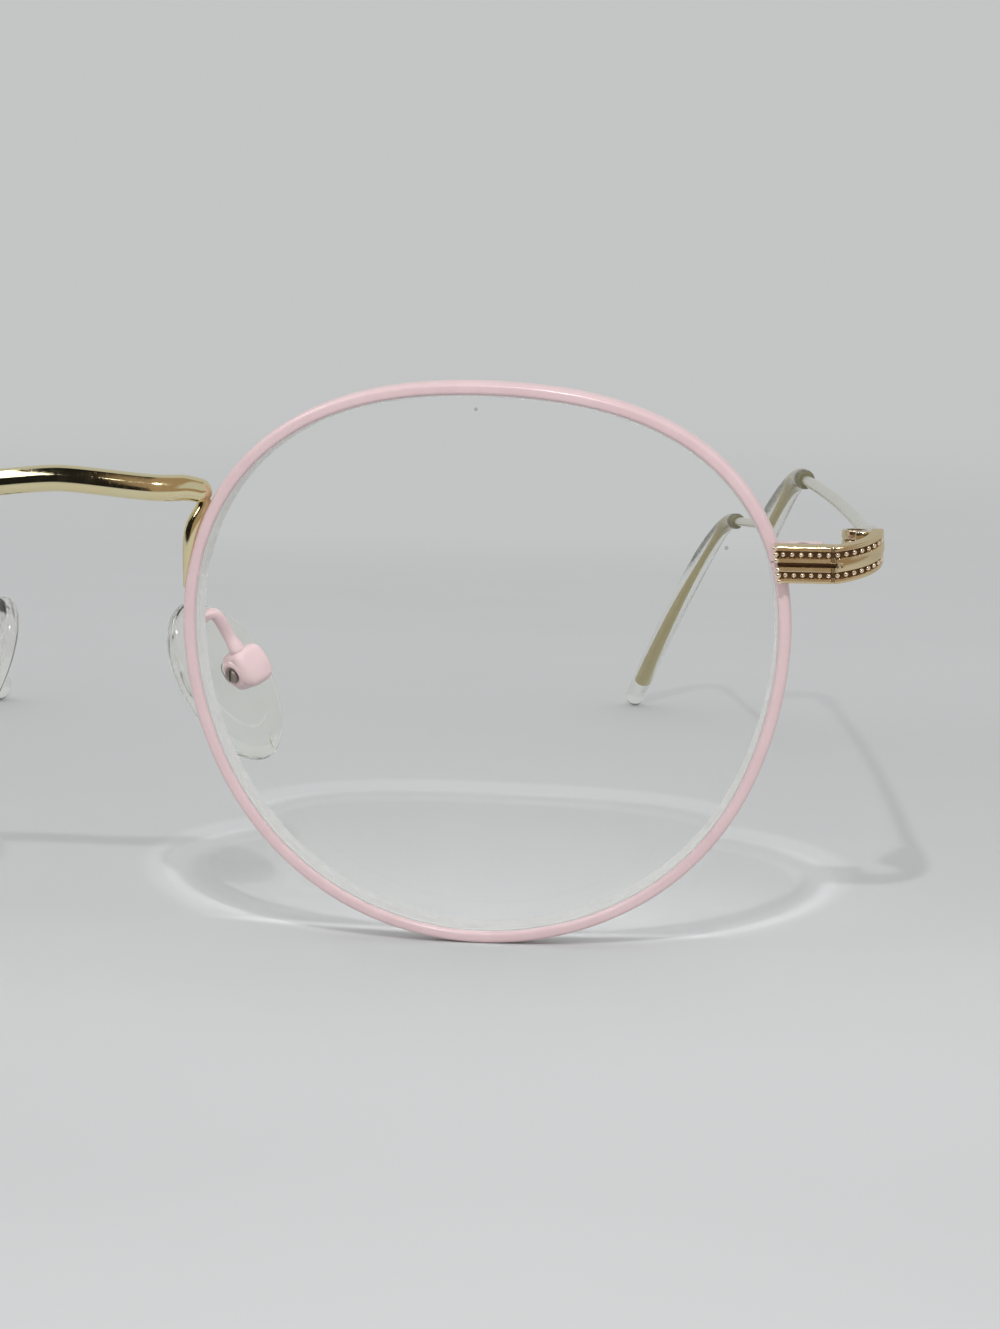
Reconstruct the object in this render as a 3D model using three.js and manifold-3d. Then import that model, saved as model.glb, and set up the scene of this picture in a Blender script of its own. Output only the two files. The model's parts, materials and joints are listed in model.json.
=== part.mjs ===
// Round eyeglasses with wire rims, adjustable nose pads and folding temples, in millimetres.
// The glasses stand open on their rims and temple tips: +Z is up, +Y points back along the temples,
// and +X is the wearer's left. The origin is under the middle of the whole outline, on the table.

import * as THREE from 'three';
import { mergeVertices } from 'three/addons/utils/BufferGeometryUtils.js';
import Module from 'manifold-3d';

const wasm = await Module();
wasm.setup();

const degrees = THREE.MathUtils.degToRad;

// Overall sizes of the front
const LENS_WIDTH = 50;
const LENS_HEIGHT = 47.6;
const LENS_SPACING = 21;
const FRONT_TILT = degrees(8);

// The lens outline is a circle with a few waves: broad at the brow and a little square at the corners
const OUTLINE_WAVES = [
  { turns: 1, sine: 0.031, cosine: 0 },
  { turns: 2, sine: 0.003, cosine: -0.0095 },
  { turns: 3, sine: 0.0295, cosine: 0.0015 },
  { turns: 4, sine: 0.002, cosine: -0.016 },
  { turns: 5, sine: -0.0025, cosine: -0.002 },
];

// Lens
const FRONT_CURVE_RADIUS = 187;
const BACK_CURVE_RADIUS = 80;
const LENS_CENTRE_THICKNESS = 1.4;
const BEVEL_DEPTH = 0.6;
const BEVEL_HALF_WIDTH = 0.42;

// Eyewire
const RIM_STROKE = 1.1;
const RIM_DEPTH = 2;
const GROOVE_LIP = 0.5;
const GROOVE_HALF_WIDTH = 0.58;
const RIM_SPLIT = 0.3;

// Bridge
const BRIDGE_RADIUS = 1.12;
const BRIDGE_HEIGHT = 16;
const BRIDGE_BOW = 1.7;
const BRIDGE_SHOULDER_DROP = 0.92;
const BRIDGE_DROP_POWER = 1.6;
const BRIDGE_SHOULDER_INSET = 0.6;
const BRIDGE_LEG_DROP = 2.3;
const BRIDGE_LEG_LENGTH = 9.6;
const BRIDGE_LEG_MIDDLE_RADIUS = 0.7;
const BRIDGE_LEG_END_RADIUS = 0.28;
const BRIDGE_LEG_BACK = -0.4;

// Nose pads, their cores and boxes
const PAD_LENGTH = 15.4;
const PAD_WIDTH = 8.6;
const PAD_THICKNESS = 2.4;
const PAD_TAPER = 0.1;
const PAD_SLANT = degrees(27);
const PAD_SPLAY = degrees(36);
const PAD_PIVOT_FROM_RIM = 2.7;
const PAD_PIVOT_BACK = 6.4;
const PAD_PIVOT_HEIGHT = -2;
const PAD_BELOW_PIVOT = 0.9;
const PAD_STANDOFF = 2.8;
const BOX_LENGTH = 3.6;
const BOX_WIDTH = 2.6;
const BOX_BACK = 1.7;
const BOX_MOUTH = 0.9;
const BOX_WALL = 0.5;
const BOX_CORNER = 0.25;
const BOX_SQUARENESS = 3.2;
const CORE_BOSS_WIDTH = 1.2;
const CORE_BOSS_RADIUS = 0.9;
const CORE_PLATE_LENGTH = 5;
const CORE_PLATE_WIDTH = 2.2;
const CORE_PLATE_THICKNESS = 0.5;
const PAD_SCREW_RADIUS = 0.45;
const PAD_SCREW_HEAD_RADIUS = 0.8;
const PAD_SCREW_HEAD_HEIGHT = 0.4;
const PAD_ARM_RADIUS = 0.5;
const PAD_ARM_BASE = 4.6;
const PAD_ARM_LOOP_RISE = 3;
const PAD_ARM_BEHIND_LENS = 1.13;
const PAD_ARM_SHOULDER = { back: 0.65, up: 0.75 };
const PAD_ARM_APPROACH = 1.3;
const PAD_ARM_OFF_CENTRE = 0.5;

// Closing block behind the endpiece
const BLOCK_LENGTH = 3.4;
const BLOCK_HEIGHT = 2.4;
const BLOCK_BACK = 1.5;
const RIM_SCREW_RADIUS = 0.5;
const RIM_SCREW_HEAD_RADIUS = 0.85;
const RIM_SCREW_HEAD_HEIGHT = 0.3;

// Endpiece
const ENDPIECE_HEIGHT = 9.93;
const PLATE_HEIGHT = 3.1;
const PLATE_BEND_HEIGHT = 2.9;
const PLATE_BEND_RISE = 0.85;
const PLATE_REAR_HEIGHT = 1.9;
const PLATE_REAR_RISE = 0.25;
const PLATE_THICKNESS = 1;
const PLATE_LAP = -0.05;
const PLATE_FLAT = 4.95;
const PLATE_CORNER_RADIUS = 3.4;
const PLATE_REAR = 3.8;
const CHANNEL_DEPTH = 0.15;
const PLATE_EDGE_ROUND = 0.1;
const GROOVE_SHARE = 0.1;
const CHANNEL_LOW_SHARE = 0.48;
const CHANNEL_HIGH_SHARE = 0.78;
const CHANNEL_SLOPE_SHARE = 0.04;

// Hinge
const BARREL_RADIUS = 1.15;
const BARREL_HEIGHT = 2.6;
const MIDDLE_KNUCKLE_HEIGHT = 0.9;
const LEAF_THICKNESS = 0.8;
const LEAF_LENGTH = 2.9;
const LEAF_HEIGHT = 1.4;
const HINGE_SCREW_RADIUS = 0.45;
const HINGE_SCREW_HEAD_RADIUS = 0.68;
const HINGE_SCREW_HEAD_HEIGHT = 0.2;

// Temples
const TOE_IN = degrees(5.4);
const ARM_RADIUS = 0.6;
const ARM_PADDLE_LENGTH = 5.4;
const ARM_TAPER_LENGTH = 4;
const PADDLE_SQUARENESS = 6;
const ARM_TO_BEND = 88;
const ARM_DROP = 0.8;
const ARM_BOW = 0.8;
const TIP_REACH = 46;
const TIP_INWARD = 10.6;
const TIP_MOUTH_RADIUS = 1.3;
const TIP_HALF_WIDTH = 1.55;
const TIP_HALF_HEIGHT = 1.9;
const TIP_BEFORE_BEND = 3;
const TIP_START_HANDLE = 12;
const TIP_END_HANDLE = { x: 0.5, y: 0.45, z: 0.6 };
const TIP_WIDEST_AT = 0.33;
const TIP_DEEPEST_AT = 0.77;
const CORE_SHORT_OF_END = 6.3;

// Clearances
const LENS_GAP = 0.15;
const SOLDER_GAP = 0.2;
const PIVOT_GAP = 0.2;
const BUTT_GAP = 0.3;
const SLEEVE_GAP = 0.25;
const SLOT_WIDTH = 0.25;
const SLOT_DEPTH = 0.12;
const HOLE_OVERRUN = 1;

// How finely curves are cut into flats
const RIM_STEPS = 72;
const LENS_STEPS = 60;
const LENS_FACE_SHARES = [0.1, 0.55, 1];
const BRIDGE_STEPS = 40;
const PAD_SIDES = 32;
const BOX_SIDES = 24;
const PAD_ARM_STEPS = 24;
const PLATE_BEND_STEPS = 8;
const ARM_STEPS = 5;
const TIP_STEPS = 14;
const TIP_SIDES = 12;
const WIRE_SIDES = 10;
const ROUND_SIDES = 20;
const TIP_END_SHARES = [0.3, 0.65, 0.9, 1];
const TIP_END_BLUNTEST = 0.96;
const OUTLINE_SAMPLES = 720;
const HALVINGS = 40;
const TIP_FITTING_ROUNDS = 4;
const WELD_DISTANCE = 1e-4;

const X = new THREE.Vector3(1, 0, 0);
const Y = new THREE.Vector3(0, 1, 0);
const Z = new THREE.Vector3(0, 0, 1);
const vec = (x, y, z) => new THREE.Vector3(x, y, z);

const FINISH = {
  pinkLacquer: { color: 0xd6bbc0, roughness: 0.3, metalness: 0.3 },
  paleGold: { color: 0xd9c9a0, roughness: 0.18, metalness: 1 },
  steel: { color: 0xa8a29c, roughness: 0.3, metalness: 1 },
  clearLens: { color: 0xe9eef0, roughness: 0.02, metalness: 0, transparent: true, opacity: 0.2 },
  clearPad: { color: 0xe6e3dc, roughness: 0.15, metalness: 0, transparent: true, opacity: 0.45 },
  clearTip: { color: 0xe3e0d2, roughness: 0.1, metalness: 0, transparent: true, opacity: 0.4 },
};

// Solids and booleans

function signedVolume(position, index) {
  const [a, b, c] = [vec(), vec(), vec()];
  let sum = 0;
  for (let i = 0; i < index.length; i += 3) {
    a.fromArray(position, 3 * index[i]);
    b.fromArray(position, 3 * index[i + 1]);
    c.fromArray(position, 3 * index[i + 2]);
    sum += a.dot(b.cross(c));
  }
  return sum / 6;
}

// Joins rings of equal point counts into one closed body. The outline gives the flat ends' triangles.
function bodyFromRings(rings, outline) {
  const count = outline.length;
  const position = rings.flat().flatMap((p) => p.toArray());
  const index = [];
  for (let ring = 0; ring + 1 < rings.length; ring++) {
    for (let i = 0; i < count; i++) {
      const a = ring * count + i;
      const b = ring * count + ((i + 1) % count);
      index.push(a, b, b + count, a, b + count, a + count);
    }
  }
  const last = (rings.length - 1) * count;
  for (const [a, b, c] of THREE.ShapeUtils.triangulateShape(outline, [])) {
    index.push(a, c, b, last + a, last + b, last + c);
  }
  if (signedVolume(position, index) < 0) {
    index.reverse();
  }
  const geometry = new THREE.BufferGeometry();
  geometry.setAttribute('position', new THREE.Float32BufferAttribute(position, 3));
  geometry.setIndex(index);
  return geometry;
}

function toSolid(geometry) {
  const bare = new THREE.BufferGeometry();
  bare.setAttribute('position', geometry.getAttribute('position'));
  bare.setIndex(geometry.getIndex());
  const merged = mergeVertices(bare, WELD_DISTANCE);
  return new wasm.Manifold(new wasm.Mesh({
    numProp: 3,
    vertProperties: new Float32Array(merged.getAttribute('position').array),
    triVerts: new Uint32Array(merged.getIndex().array),
  }));
}

function toGeometry(solid) {
  const mesh = solid.getMesh();
  const geometry = new THREE.BufferGeometry();
  geometry.setAttribute('position', new THREE.BufferAttribute(mesh.vertProperties, 3));
  geometry.setIndex(new THREE.BufferAttribute(mesh.triVerts, 1));
  return geometry;
}

const cut = (base, ...tools) =>
  toGeometry(tools.reduce((solid, tool) => solid.subtract(toSolid(tool)), toSolid(base)));

const join = (base, ...others) =>
  toGeometry(others.reduce((solid, other) => solid.add(toSolid(other)), toSolid(base)));

// Plain forms

const boxBetween = (low, high) =>
  new THREE.BoxGeometry(high.x - low.x, high.y - low.y, high.z - low.z)
    .translate((low.x + high.x) / 2, (low.y + high.y) / 2, (low.z + high.z) / 2);

const uprightPin = (radius, low, high) =>
  new THREE.CylinderGeometry(radius, radius, high - low, ROUND_SIDES)
    .rotateX(Math.PI / 2)
    .translate(0, 0, (low + high) / 2);

// A slotted screw along +Z: its shank ends at 0 and its head sits on the given length.
function slottedScrew(shankRadius, length, headRadius, headHeight) {
  const top = length + headHeight;
  const profile = [
    new THREE.Vector2(0, 0),
    new THREE.Vector2(shankRadius, 0),
    new THREE.Vector2(shankRadius, length),
    new THREE.Vector2(headRadius, length),
    new THREE.Vector2(headRadius, top - headHeight / 3),
    new THREE.Vector2(headRadius - headHeight / 3, top),
    new THREE.Vector2(0, top),
  ];
  const turned = new THREE.LatheGeometry(profile, ROUND_SIDES).rotateX(Math.PI / 2);
  const slot = boxBetween(
    vec(-2 * headRadius, -SLOT_WIDTH / 2, top - SLOT_DEPTH),
    vec(2 * headRadius, SLOT_WIDTH / 2, top + SLOT_DEPTH),
  );
  return cut(turned, slot);
}

// A closed section between an ellipse (power 2) and a box with round corners (a high power).
function roundedSection(sides, power) {
  const bulge = (value) => Math.sign(value) * Math.abs(value) ** (2 / power);
  return Array.from({ length: sides }, (_, i) => {
    const angle = (2 * Math.PI * (i + 0.5)) / sides;
    return new THREE.Vector2(bulge(Math.cos(angle)), bulge(Math.sin(angle)));
  });
}

const ringAt = (section, at, across, up, width, height) =>
  section.map((p) => at.clone().addScaledVector(across, p.x * width).addScaledVector(up, p.y * height));

// A round wire along a curve, with a radius that may change along it.
function wire(curve, steps, radiusAt) {
  const section = roundedSection(WIRE_SIDES, 2);
  const frames = curve.computeFrenetFrames(steps);
  const rings = Array.from({ length: steps + 1 }, (_, i) => {
    const u = i / steps;
    const radius = radiusAt(u);
    return ringAt(section, curve.getPointAt(u), frames.normals[i], frames.binormals[i], radius, radius);
  });
  return bodyFromRings(rings, section);
}

const evenly = (from, to, steps) =>
  Array.from({ length: steps + 1 }, (_, i) => THREE.MathUtils.lerp(from, to, i / steps));

// The lens outline, about its own middle: x to the temple, y up

function rawOutline(angle) {
  const radius = OUTLINE_WAVES.reduce(
    (sum, { turns, sine, cosine }) => sum + sine * Math.sin(turns * angle) + cosine * Math.cos(turns * angle),
    1,
  );
  return new THREE.Vector2(radius * Math.cos(angle), radius * Math.sin(angle));
}

const OUTLINE_ANGLES = Array.from({ length: OUTLINE_SAMPLES }, (_, i) => (2 * Math.PI * i) / OUTLINE_SAMPLES);
const OUTLINE_BOX = new THREE.Box2().setFromPoints(OUTLINE_ANGLES.map(rawOutline));
const OUTLINE_MIDDLE = OUTLINE_BOX.getCenter(new THREE.Vector2());
const OUTLINE_SCALE = new THREE.Vector2(LENS_WIDTH, LENS_HEIGHT)
  .divide(OUTLINE_BOX.getSize(new THREE.Vector2()));

const lensEdge = (angle) => rawOutline(angle).sub(OUTLINE_MIDDLE).multiply(OUTLINE_SCALE);

function edgeNormal(angle) {
  const step = 1e-3;
  const along = lensEdge(angle + step).sub(lensEdge(angle - step)).normalize();
  return new THREE.Vector2(along.y, -along.x);
}

const offsetEdge = (angle, distance) => lensEdge(angle).addScaledVector(edgeNormal(angle), distance);

// The angle at which the edge reaches a height, on the nose side or on the temple side.
function angleAtHeight(height, noseSide) {
  let [below, above] = [-Math.PI / 2, Math.PI / 2];
  for (let i = 0; i < HALVINGS; i++) {
    const middle = (below + above) / 2;
    if (lensEdge(noseSide ? Math.PI - middle : middle).y < height) {
      below = middle;
    } else {
      above = middle;
    }
  }
  return noseSide ? Math.PI - below : below;
}

// The front's own frame: x across, y back from the lens plane, z up along the front from the lens middle

const LENS_CENTRE_X = (LENS_WIDTH + LENS_SPACING) / 2;
const RIM_OUTSIDE = RIM_STROKE - GROOVE_LIP;
const RIM_BACK = RIM_DEPTH / 2;
const CLOSING_ANGLE = angleAtHeight(ENDPIECE_HEIGHT, false);

const onFront = (edgePoint, y) => vec(LENS_CENTRE_X + edgePoint.x, y, edgePoint.y);
const level = (point) => point.clone().applyAxisAngle(X, FRONT_TILT);

function eyewire() {
  const half = RIM_DEPTH / 2;
  const round = RIM_STROKE / 4;
  const section = [
    [LENS_GAP, 0],
    [-GROOVE_LIP, -GROOVE_HALF_WIDTH],
    [-GROOVE_LIP, -half + round],
    [-GROOVE_LIP + round, -half],
    [RIM_OUTSIDE - round, -half],
    [RIM_OUTSIDE, -half + 2 * round],
    [RIM_OUTSIDE, half - 2 * round],
    [RIM_OUTSIDE - round, half],
    [-GROOVE_LIP + round, half],
    [-GROOVE_LIP, half - round],
    [-GROOVE_LIP, GROOVE_HALF_WIDTH],
  ].map(([out, back]) => new THREE.Vector2(out, back));
  const halfSplit = RIM_SPLIT / 2 / lensEdge(CLOSING_ANGLE).length();
  const sweep = 2 * Math.PI - 2 * halfSplit;
  const rings = Array.from({ length: RIM_STEPS + 1 }, (_, i) => {
    const angle = CLOSING_ANGLE + halfSplit + (sweep * i) / RIM_STEPS;
    return section.map(({ x: out, y: back }) => onFront(offsetEdge(angle, out), back));
  });
  return bodyFromRings(rings, section);
}

// The lens stands a little behind the front lip at its furthest corner, and its bevel fills the groove.
const LENS_REACH = Math.max(...OUTLINE_ANGLES.map((angle) => lensEdge(angle).length()));
const sag = (radius, distance) => radius - Math.sqrt(radius ** 2 - distance ** 2);
const LENS_FRONT = -BEVEL_HALF_WIDTH - sag(FRONT_CURVE_RADIUS, LENS_REACH);
const lensFrontAt = (p) => LENS_FRONT + sag(FRONT_CURVE_RADIUS, p.length());
const lensBackAt = (p) => LENS_FRONT + LENS_CENTRE_THICKNESS + sag(BACK_CURVE_RADIUS, p.length());

function lens() {
  const angles = Array.from({ length: LENS_STEPS }, (_, i) => (2 * Math.PI * i) / LENS_STEPS);
  const face = (share, depthAt) => angles.map((angle) => {
    const p = offsetEdge(angle, -BEVEL_DEPTH).multiplyScalar(share);
    return onFront(p, depthAt(p));
  });
  const edge = (inset, depth) => angles.map((angle) => onFront(offsetEdge(angle, -inset), depth));
  const rings = [
    ...LENS_FACE_SHARES.map((share) => face(share, lensFrontAt)),
    edge(BEVEL_DEPTH, -BEVEL_HALF_WIDTH),
    edge(0, 0),
    edge(BEVEL_DEPTH, BEVEL_HALF_WIDTH),
    ...LENS_FACE_SHARES.toReversed().map((share) => face(share, lensBackAt)),
  ];
  return bodyFromRings(rings, angles.map(lensEdge));
}

// The bridge wire: up one nasal rim, across in a low arch before the lens plane, and down the other
function bridge() {
  const besideRim = (drop, radius, y) => {
    const angle = angleAtHeight(BRIDGE_HEIGHT - drop, true);
    return onFront(offsetEdge(angle, RIM_OUTSIDE + SOLDER_GAP + radius), y);
  };
  const leg = [
    besideRim(BRIDGE_LEG_LENGTH, BRIDGE_LEG_END_RADIUS, BRIDGE_LEG_BACK),
    besideRim(BRIDGE_LEG_LENGTH / 2, BRIDGE_LEG_MIDDLE_RADIUS, BRIDGE_LEG_BACK),
    besideRim(BRIDGE_LEG_DROP, BRIDGE_RADIUS, 0),
  ];
  const shoulderX = leg.at(-1).x - BRIDGE_SHOULDER_INSET;
  const arch = (share) => vec(
    share * shoulderX,
    -BRIDGE_BOW * (1 - share ** 2 / 2),
    BRIDGE_HEIGHT - BRIDGE_SHOULDER_DROP * Math.sin((share * Math.PI) / 2) ** BRIDGE_DROP_POWER,
  );
  const half = [...leg, ...[1, 0.75, 0.5, 0.25].map(arch)];
  const other = half.toReversed().map((p) => vec(-p.x, p.y, p.z));
  const curve = new THREE.CatmullRomCurve3([...half, arch(0), ...other]);
  const legShare = BRIDGE_LEG_LENGTH / curve.getLength();
  const radiusAt = (u) => {
    const fromEnd = Math.min(u, 1 - u) / legShare;
    return THREE.MathUtils.lerp(BRIDGE_LEG_END_RADIUS, BRIDGE_RADIUS, Math.min(1, fromEnd));
  };
  return wire(curve, BRIDGE_STEPS, radiusAt);
}

// Nose pads turn on their screws. Their frame: x along the screw to the front, y up the pad, z to the nose

const PAD_UP = vec(-Math.sin(PAD_SLANT), 0, Math.cos(PAD_SLANT));
const PAD_FACE = vec(
  -Math.cos(PAD_SPLAY) * Math.cos(PAD_SLANT),
  Math.sin(PAD_SPLAY),
  -Math.cos(PAD_SPLAY) * Math.sin(PAD_SLANT),
);
const PAD_SCREW_LINE = PAD_UP.clone().cross(PAD_FACE);
const NASAL_EDGE = lensEdge(angleAtHeight(PAD_PIVOT_HEIGHT, true));
const PAD_PIVOT = vec(
  LENS_CENTRE_X + NASAL_EDGE.x + PAD_PIVOT_FROM_RIM,
  PAD_PIVOT_BACK,
  PAD_PIVOT_HEIGHT,
);
const PAD_FRAME = new THREE.Matrix4()
  .makeBasis(PAD_SCREW_LINE, PAD_UP, PAD_FACE)
  .setPosition(PAD_PIVOT);
const PAD_POCKET_FLOOR = PAD_STANDOFF + CORE_PLATE_THICKNESS + SOLDER_GAP;

// A drop: broad above and drawn in a little towards its lower end
function padOutline(share) {
  return Array.from({ length: PAD_SIDES }, (_, i) => {
    const angle = (2 * Math.PI * i) / PAD_SIDES;
    const taper = 1 + PAD_TAPER * Math.sin(angle);
    const x = (PAD_WIDTH / 2) * Math.cos(angle) * taper;
    const y = (PAD_LENGTH / 2) * Math.sin(angle);
    return new THREE.Vector2(x, y).multiplyScalar(share);
  });
}

function nosePad() {
  const profile = [
    { share: 0.8, at: 0 },
    { share: 0.93, at: 0.15 },
    { share: 1, at: 0.42 },
    { share: 0.95, at: 0.75 },
    { share: 0.84, at: 0.93 },
    { share: 0.68, at: 1 },
  ];
  const rings = profile.map(({ share, at }) =>
    padOutline(share).map((p) => vec(p.x, p.y - PAD_BELOW_PIVOT, PAD_STANDOFF + at * PAD_THICKNESS)));
  const pad = bodyFromRings(rings, padOutline(1));
  const pocket = boxBetween(
    vec(-CORE_PLATE_WIDTH / 2 - SOLDER_GAP, -CORE_PLATE_LENGTH / 2 - SOLDER_GAP, PAD_STANDOFF - SOLDER_GAP),
    vec(CORE_PLATE_WIDTH / 2 + SOLDER_GAP, CORE_PLATE_LENGTH / 2 + SOLDER_GAP, PAD_POCKET_FLOOR),
  );
  return cut(pad, pocket);
}

const acrossPad = (geometry) => geometry.rotateY(Math.PI / 2);

function padCore() {
  const plate = boxBetween(
    vec(-CORE_PLATE_WIDTH / 2, -CORE_PLATE_LENGTH / 2, PAD_STANDOFF),
    vec(CORE_PLATE_WIDTH / 2, CORE_PLATE_LENGTH / 2, PAD_STANDOFF + CORE_PLATE_THICKNESS),
  );
  const boss = boxBetween(
    vec(-CORE_BOSS_WIDTH / 2, -CORE_BOSS_RADIUS, 0),
    vec(CORE_BOSS_WIDTH / 2, CORE_BOSS_RADIUS, PAD_STANDOFF + CORE_PLATE_THICKNESS / 2),
  );
  const eye = acrossPad(uprightPin(CORE_BOSS_RADIUS, -CORE_BOSS_WIDTH / 2, CORE_BOSS_WIDTH / 2));
  const hole = acrossPad(uprightPin(PAD_SCREW_RADIUS + PIVOT_GAP / 2, -BOX_WIDTH, BOX_WIDTH));
  return cut(join(plate, boss, eye), hole);
}

function padBox() {
  const section = roundedSection(BOX_SIDES, BOX_SQUARENESS);
  const layers = [
    { share: 0.72, z: -BOX_BACK },
    { share: 0.92, z: -BOX_BACK + BOX_CORNER },
    { share: 1, z: -BOX_BACK + 3 * BOX_CORNER },
    { share: 1, z: BOX_MOUTH },
  ];
  const rings = layers.map(({ share, z }) =>
    ringAt(section, vec(0, 0, z), X, Y, (share * BOX_WIDTH) / 2, (share * BOX_LENGTH) / 2));
  const halfWide = CORE_BOSS_WIDTH / 2 + PIVOT_GAP;
  const halfLong = BOX_LENGTH / 2 - BOX_WALL;
  const pocket = boxBetween(
    vec(-halfWide, -halfLong, -BOX_BACK + BOX_WALL),
    vec(halfWide, halfLong, 2 * BOX_MOUTH),
  );
  const hole = acrossPad(uprightPin(PAD_SCREW_RADIUS + PIVOT_GAP / 2, -BOX_WIDTH, BOX_WIDTH));
  return cut(bodyFromRings(rings, section), pocket, hole);
}

function padScrew() {
  const seat = BOX_WIDTH / 2 + PIVOT_GAP / 2;
  const screw = slottedScrew(
    PAD_SCREW_RADIUS,
    BOX_WIDTH / 2 + seat,
    PAD_SCREW_HEAD_RADIUS,
    PAD_SCREW_HEAD_HEIGHT,
  );
  return acrossPad(screw.translate(0, 0, -BOX_WIDTH / 2));
}

// The pad arm: a foot along the back of the rim, a loop up and back clear of the lens, and down to the box
function padArm() {
  const footY = RIM_BACK + SOLDER_GAP + PAD_ARM_RADIUS;
  const foot = (height) =>
    onFront(offsetEdge(angleAtHeight(height, true), RIM_OUTSIDE - PAD_ARM_RADIUS), footY);
  const highHeight = PAD_PIVOT_HEIGHT + PAD_ARM_BASE / 2;
  const low = foot(PAD_PIVOT_HEIGHT - PAD_ARM_BASE / 2);
  const high = foot(highHeight);
  const lensBack = lensBackAt(offsetEdge(angleAtHeight(highHeight, true), -BEVEL_DEPTH));
  const loopBack = lensBack + PAD_ARM_BEHIND_LENS + PAD_ARM_RADIUS - footY;
  const overBox = (height) =>
    vec(PAD_ARM_OFF_CENTRE, BOX_LENGTH / 2 + height, -BOX_BACK / 2).applyMatrix4(PAD_FRAME);
  const approach = overBox(PAD_ARM_APPROACH);
  const shoulder = high.clone()
    .add(vec(0, PAD_ARM_SHOULDER.back * loopBack, PAD_ARM_SHOULDER.up * PAD_ARM_LOOP_RISE));
  const top = vec((high.x + approach.x) / 2, footY + loopBack, highHeight + PAD_ARM_LOOP_RISE);
  const route = [low, foot(PAD_PIVOT_HEIGHT), high, shoulder, top, approach, overBox(-PAD_ARM_RADIUS)];
  const boxRoom = boxBetween(
    vec(-BOX_WIDTH, -BOX_LENGTH, -2 * BOX_BACK),
    vec(BOX_WIDTH, BOX_LENGTH / 2 + SOLDER_GAP, 2 * BOX_BACK),
  );
  const arm = wire(new THREE.CatmullRomCurve3(route), PAD_ARM_STEPS, () => PAD_ARM_RADIUS);
  return cut(arm, boxRoom.applyMatrix4(PAD_FRAME));
}

// Closing block: two halves outside the rim's split, held by a screw down through both

const BLOCK_NEAR = (height) => offsetEdge(angleAtHeight(height, false), RIM_OUTSIDE + SOLDER_GAP).x;
const BLOCK_FAR = BLOCK_NEAR(ENDPIECE_HEIGHT) + BLOCK_LENGTH;
const BLOCK_SCREW_X = LENS_CENTRE_X + BLOCK_FAR - BLOCK_LENGTH / 2;
const BLOCK_SCREW_Y = (BLOCK_BACK - RIM_BACK) / 2;

function closingBlock(lowHeight, highHeight) {
  const shape = new THREE.Shape([
    new THREE.Vector2(BLOCK_NEAR(lowHeight), lowHeight),
    new THREE.Vector2(BLOCK_FAR, lowHeight),
    new THREE.Vector2(BLOCK_FAR, highHeight),
    new THREE.Vector2(BLOCK_NEAR(highHeight), highHeight),
  ]);
  const depth = RIM_BACK + BLOCK_BACK;
  const block = new THREE.ExtrudeGeometry(shape, { depth, bevelEnabled: false })
    .rotateX(Math.PI / 2)
    .translate(LENS_CENTRE_X, BLOCK_BACK, 0);
  const hole = uprightPin(RIM_SCREW_RADIUS + PIVOT_GAP, lowHeight - HOLE_OVERRUN, highHeight + HOLE_OVERRUN)
    .translate(BLOCK_SCREW_X, BLOCK_SCREW_Y, 0);
  return cut(block, hole);
}

// The screw goes in from below and its end is flush with the block's top.
function rimScrew() {
  const screw = slottedScrew(
    RIM_SCREW_RADIUS,
    BLOCK_HEIGHT + SOLDER_GAP,
    RIM_SCREW_HEAD_RADIUS,
    RIM_SCREW_HEAD_HEIGHT,
  );
  return screw
    .rotateX(Math.PI)
    .translate(BLOCK_SCREW_X, BLOCK_SCREW_Y, ENDPIECE_HEIGHT + BLOCK_HEIGHT / 2);
}

// The endpiece bends back square to the tilted front, so it climbs a little to the hinge

const TEMPLE_BACK = vec(-Math.sin(TOE_IN), Math.cos(TOE_IN), 0);
const TEMPLE_OUT = vec(Math.cos(TOE_IN), Math.sin(TOE_IN), 0);
const PLATE_START = onFront(
  offsetEdge(CLOSING_ANGLE, PLATE_LAP),
  -RIM_BACK - SOLDER_GAP - PLATE_THICKNESS / 2,
);
const PLATE_BEND_CENTRE = PLATE_START.clone().add(vec(PLATE_FLAT, PLATE_CORNER_RADIUS, 0));
const BUTT = level(PLATE_BEND_CENTRE.clone().add(vec(PLATE_CORNER_RADIUS, PLATE_REAR, 0)));
const LEAF_INSIDE = PLATE_THICKNESS / 2 + SOLDER_GAP;
const HINGE_AXIS = BUTT.clone().addScaledVector(TEMPLE_OUT, -LEAF_INSIDE - BARREL_RADIUS);

// The endpiece's section: x is its outer face and y a share of its half height, with two channels for
// the beads and a groove along the middle
function plateSection() {
  const inner = -PLATE_THICKNESS / 2;
  const outer = PLATE_THICKNESS / 2;
  const sunk = outer - CHANNEL_DEPTH;
  const half = [
    [sunk, GROOVE_SHARE],
    [outer, GROOVE_SHARE + CHANNEL_SLOPE_SHARE],
    [outer, CHANNEL_LOW_SHARE - CHANNEL_SLOPE_SHARE],
    [sunk, CHANNEL_LOW_SHARE],
    [sunk, CHANNEL_HIGH_SHARE],
    [outer, CHANNEL_HIGH_SHARE + CHANNEL_SLOPE_SHARE],
    [outer, 1 - PLATE_EDGE_ROUND],
    [outer - PLATE_EDGE_ROUND, 1],
    [inner, 1],
  ].map(([x, y]) => new THREE.Vector2(x, y));
  return [...half, ...half.toReversed().map((p) => new THREE.Vector2(p.x, -p.y))];
}

// A point along the temple's line from the butt, at the middle of the plate's rear end
const besideButt = (distance) =>
  BUTT.clone().addScaledVector(TEMPLE_BACK, distance).addScaledVector(Z, PLATE_REAR_RISE);

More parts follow.
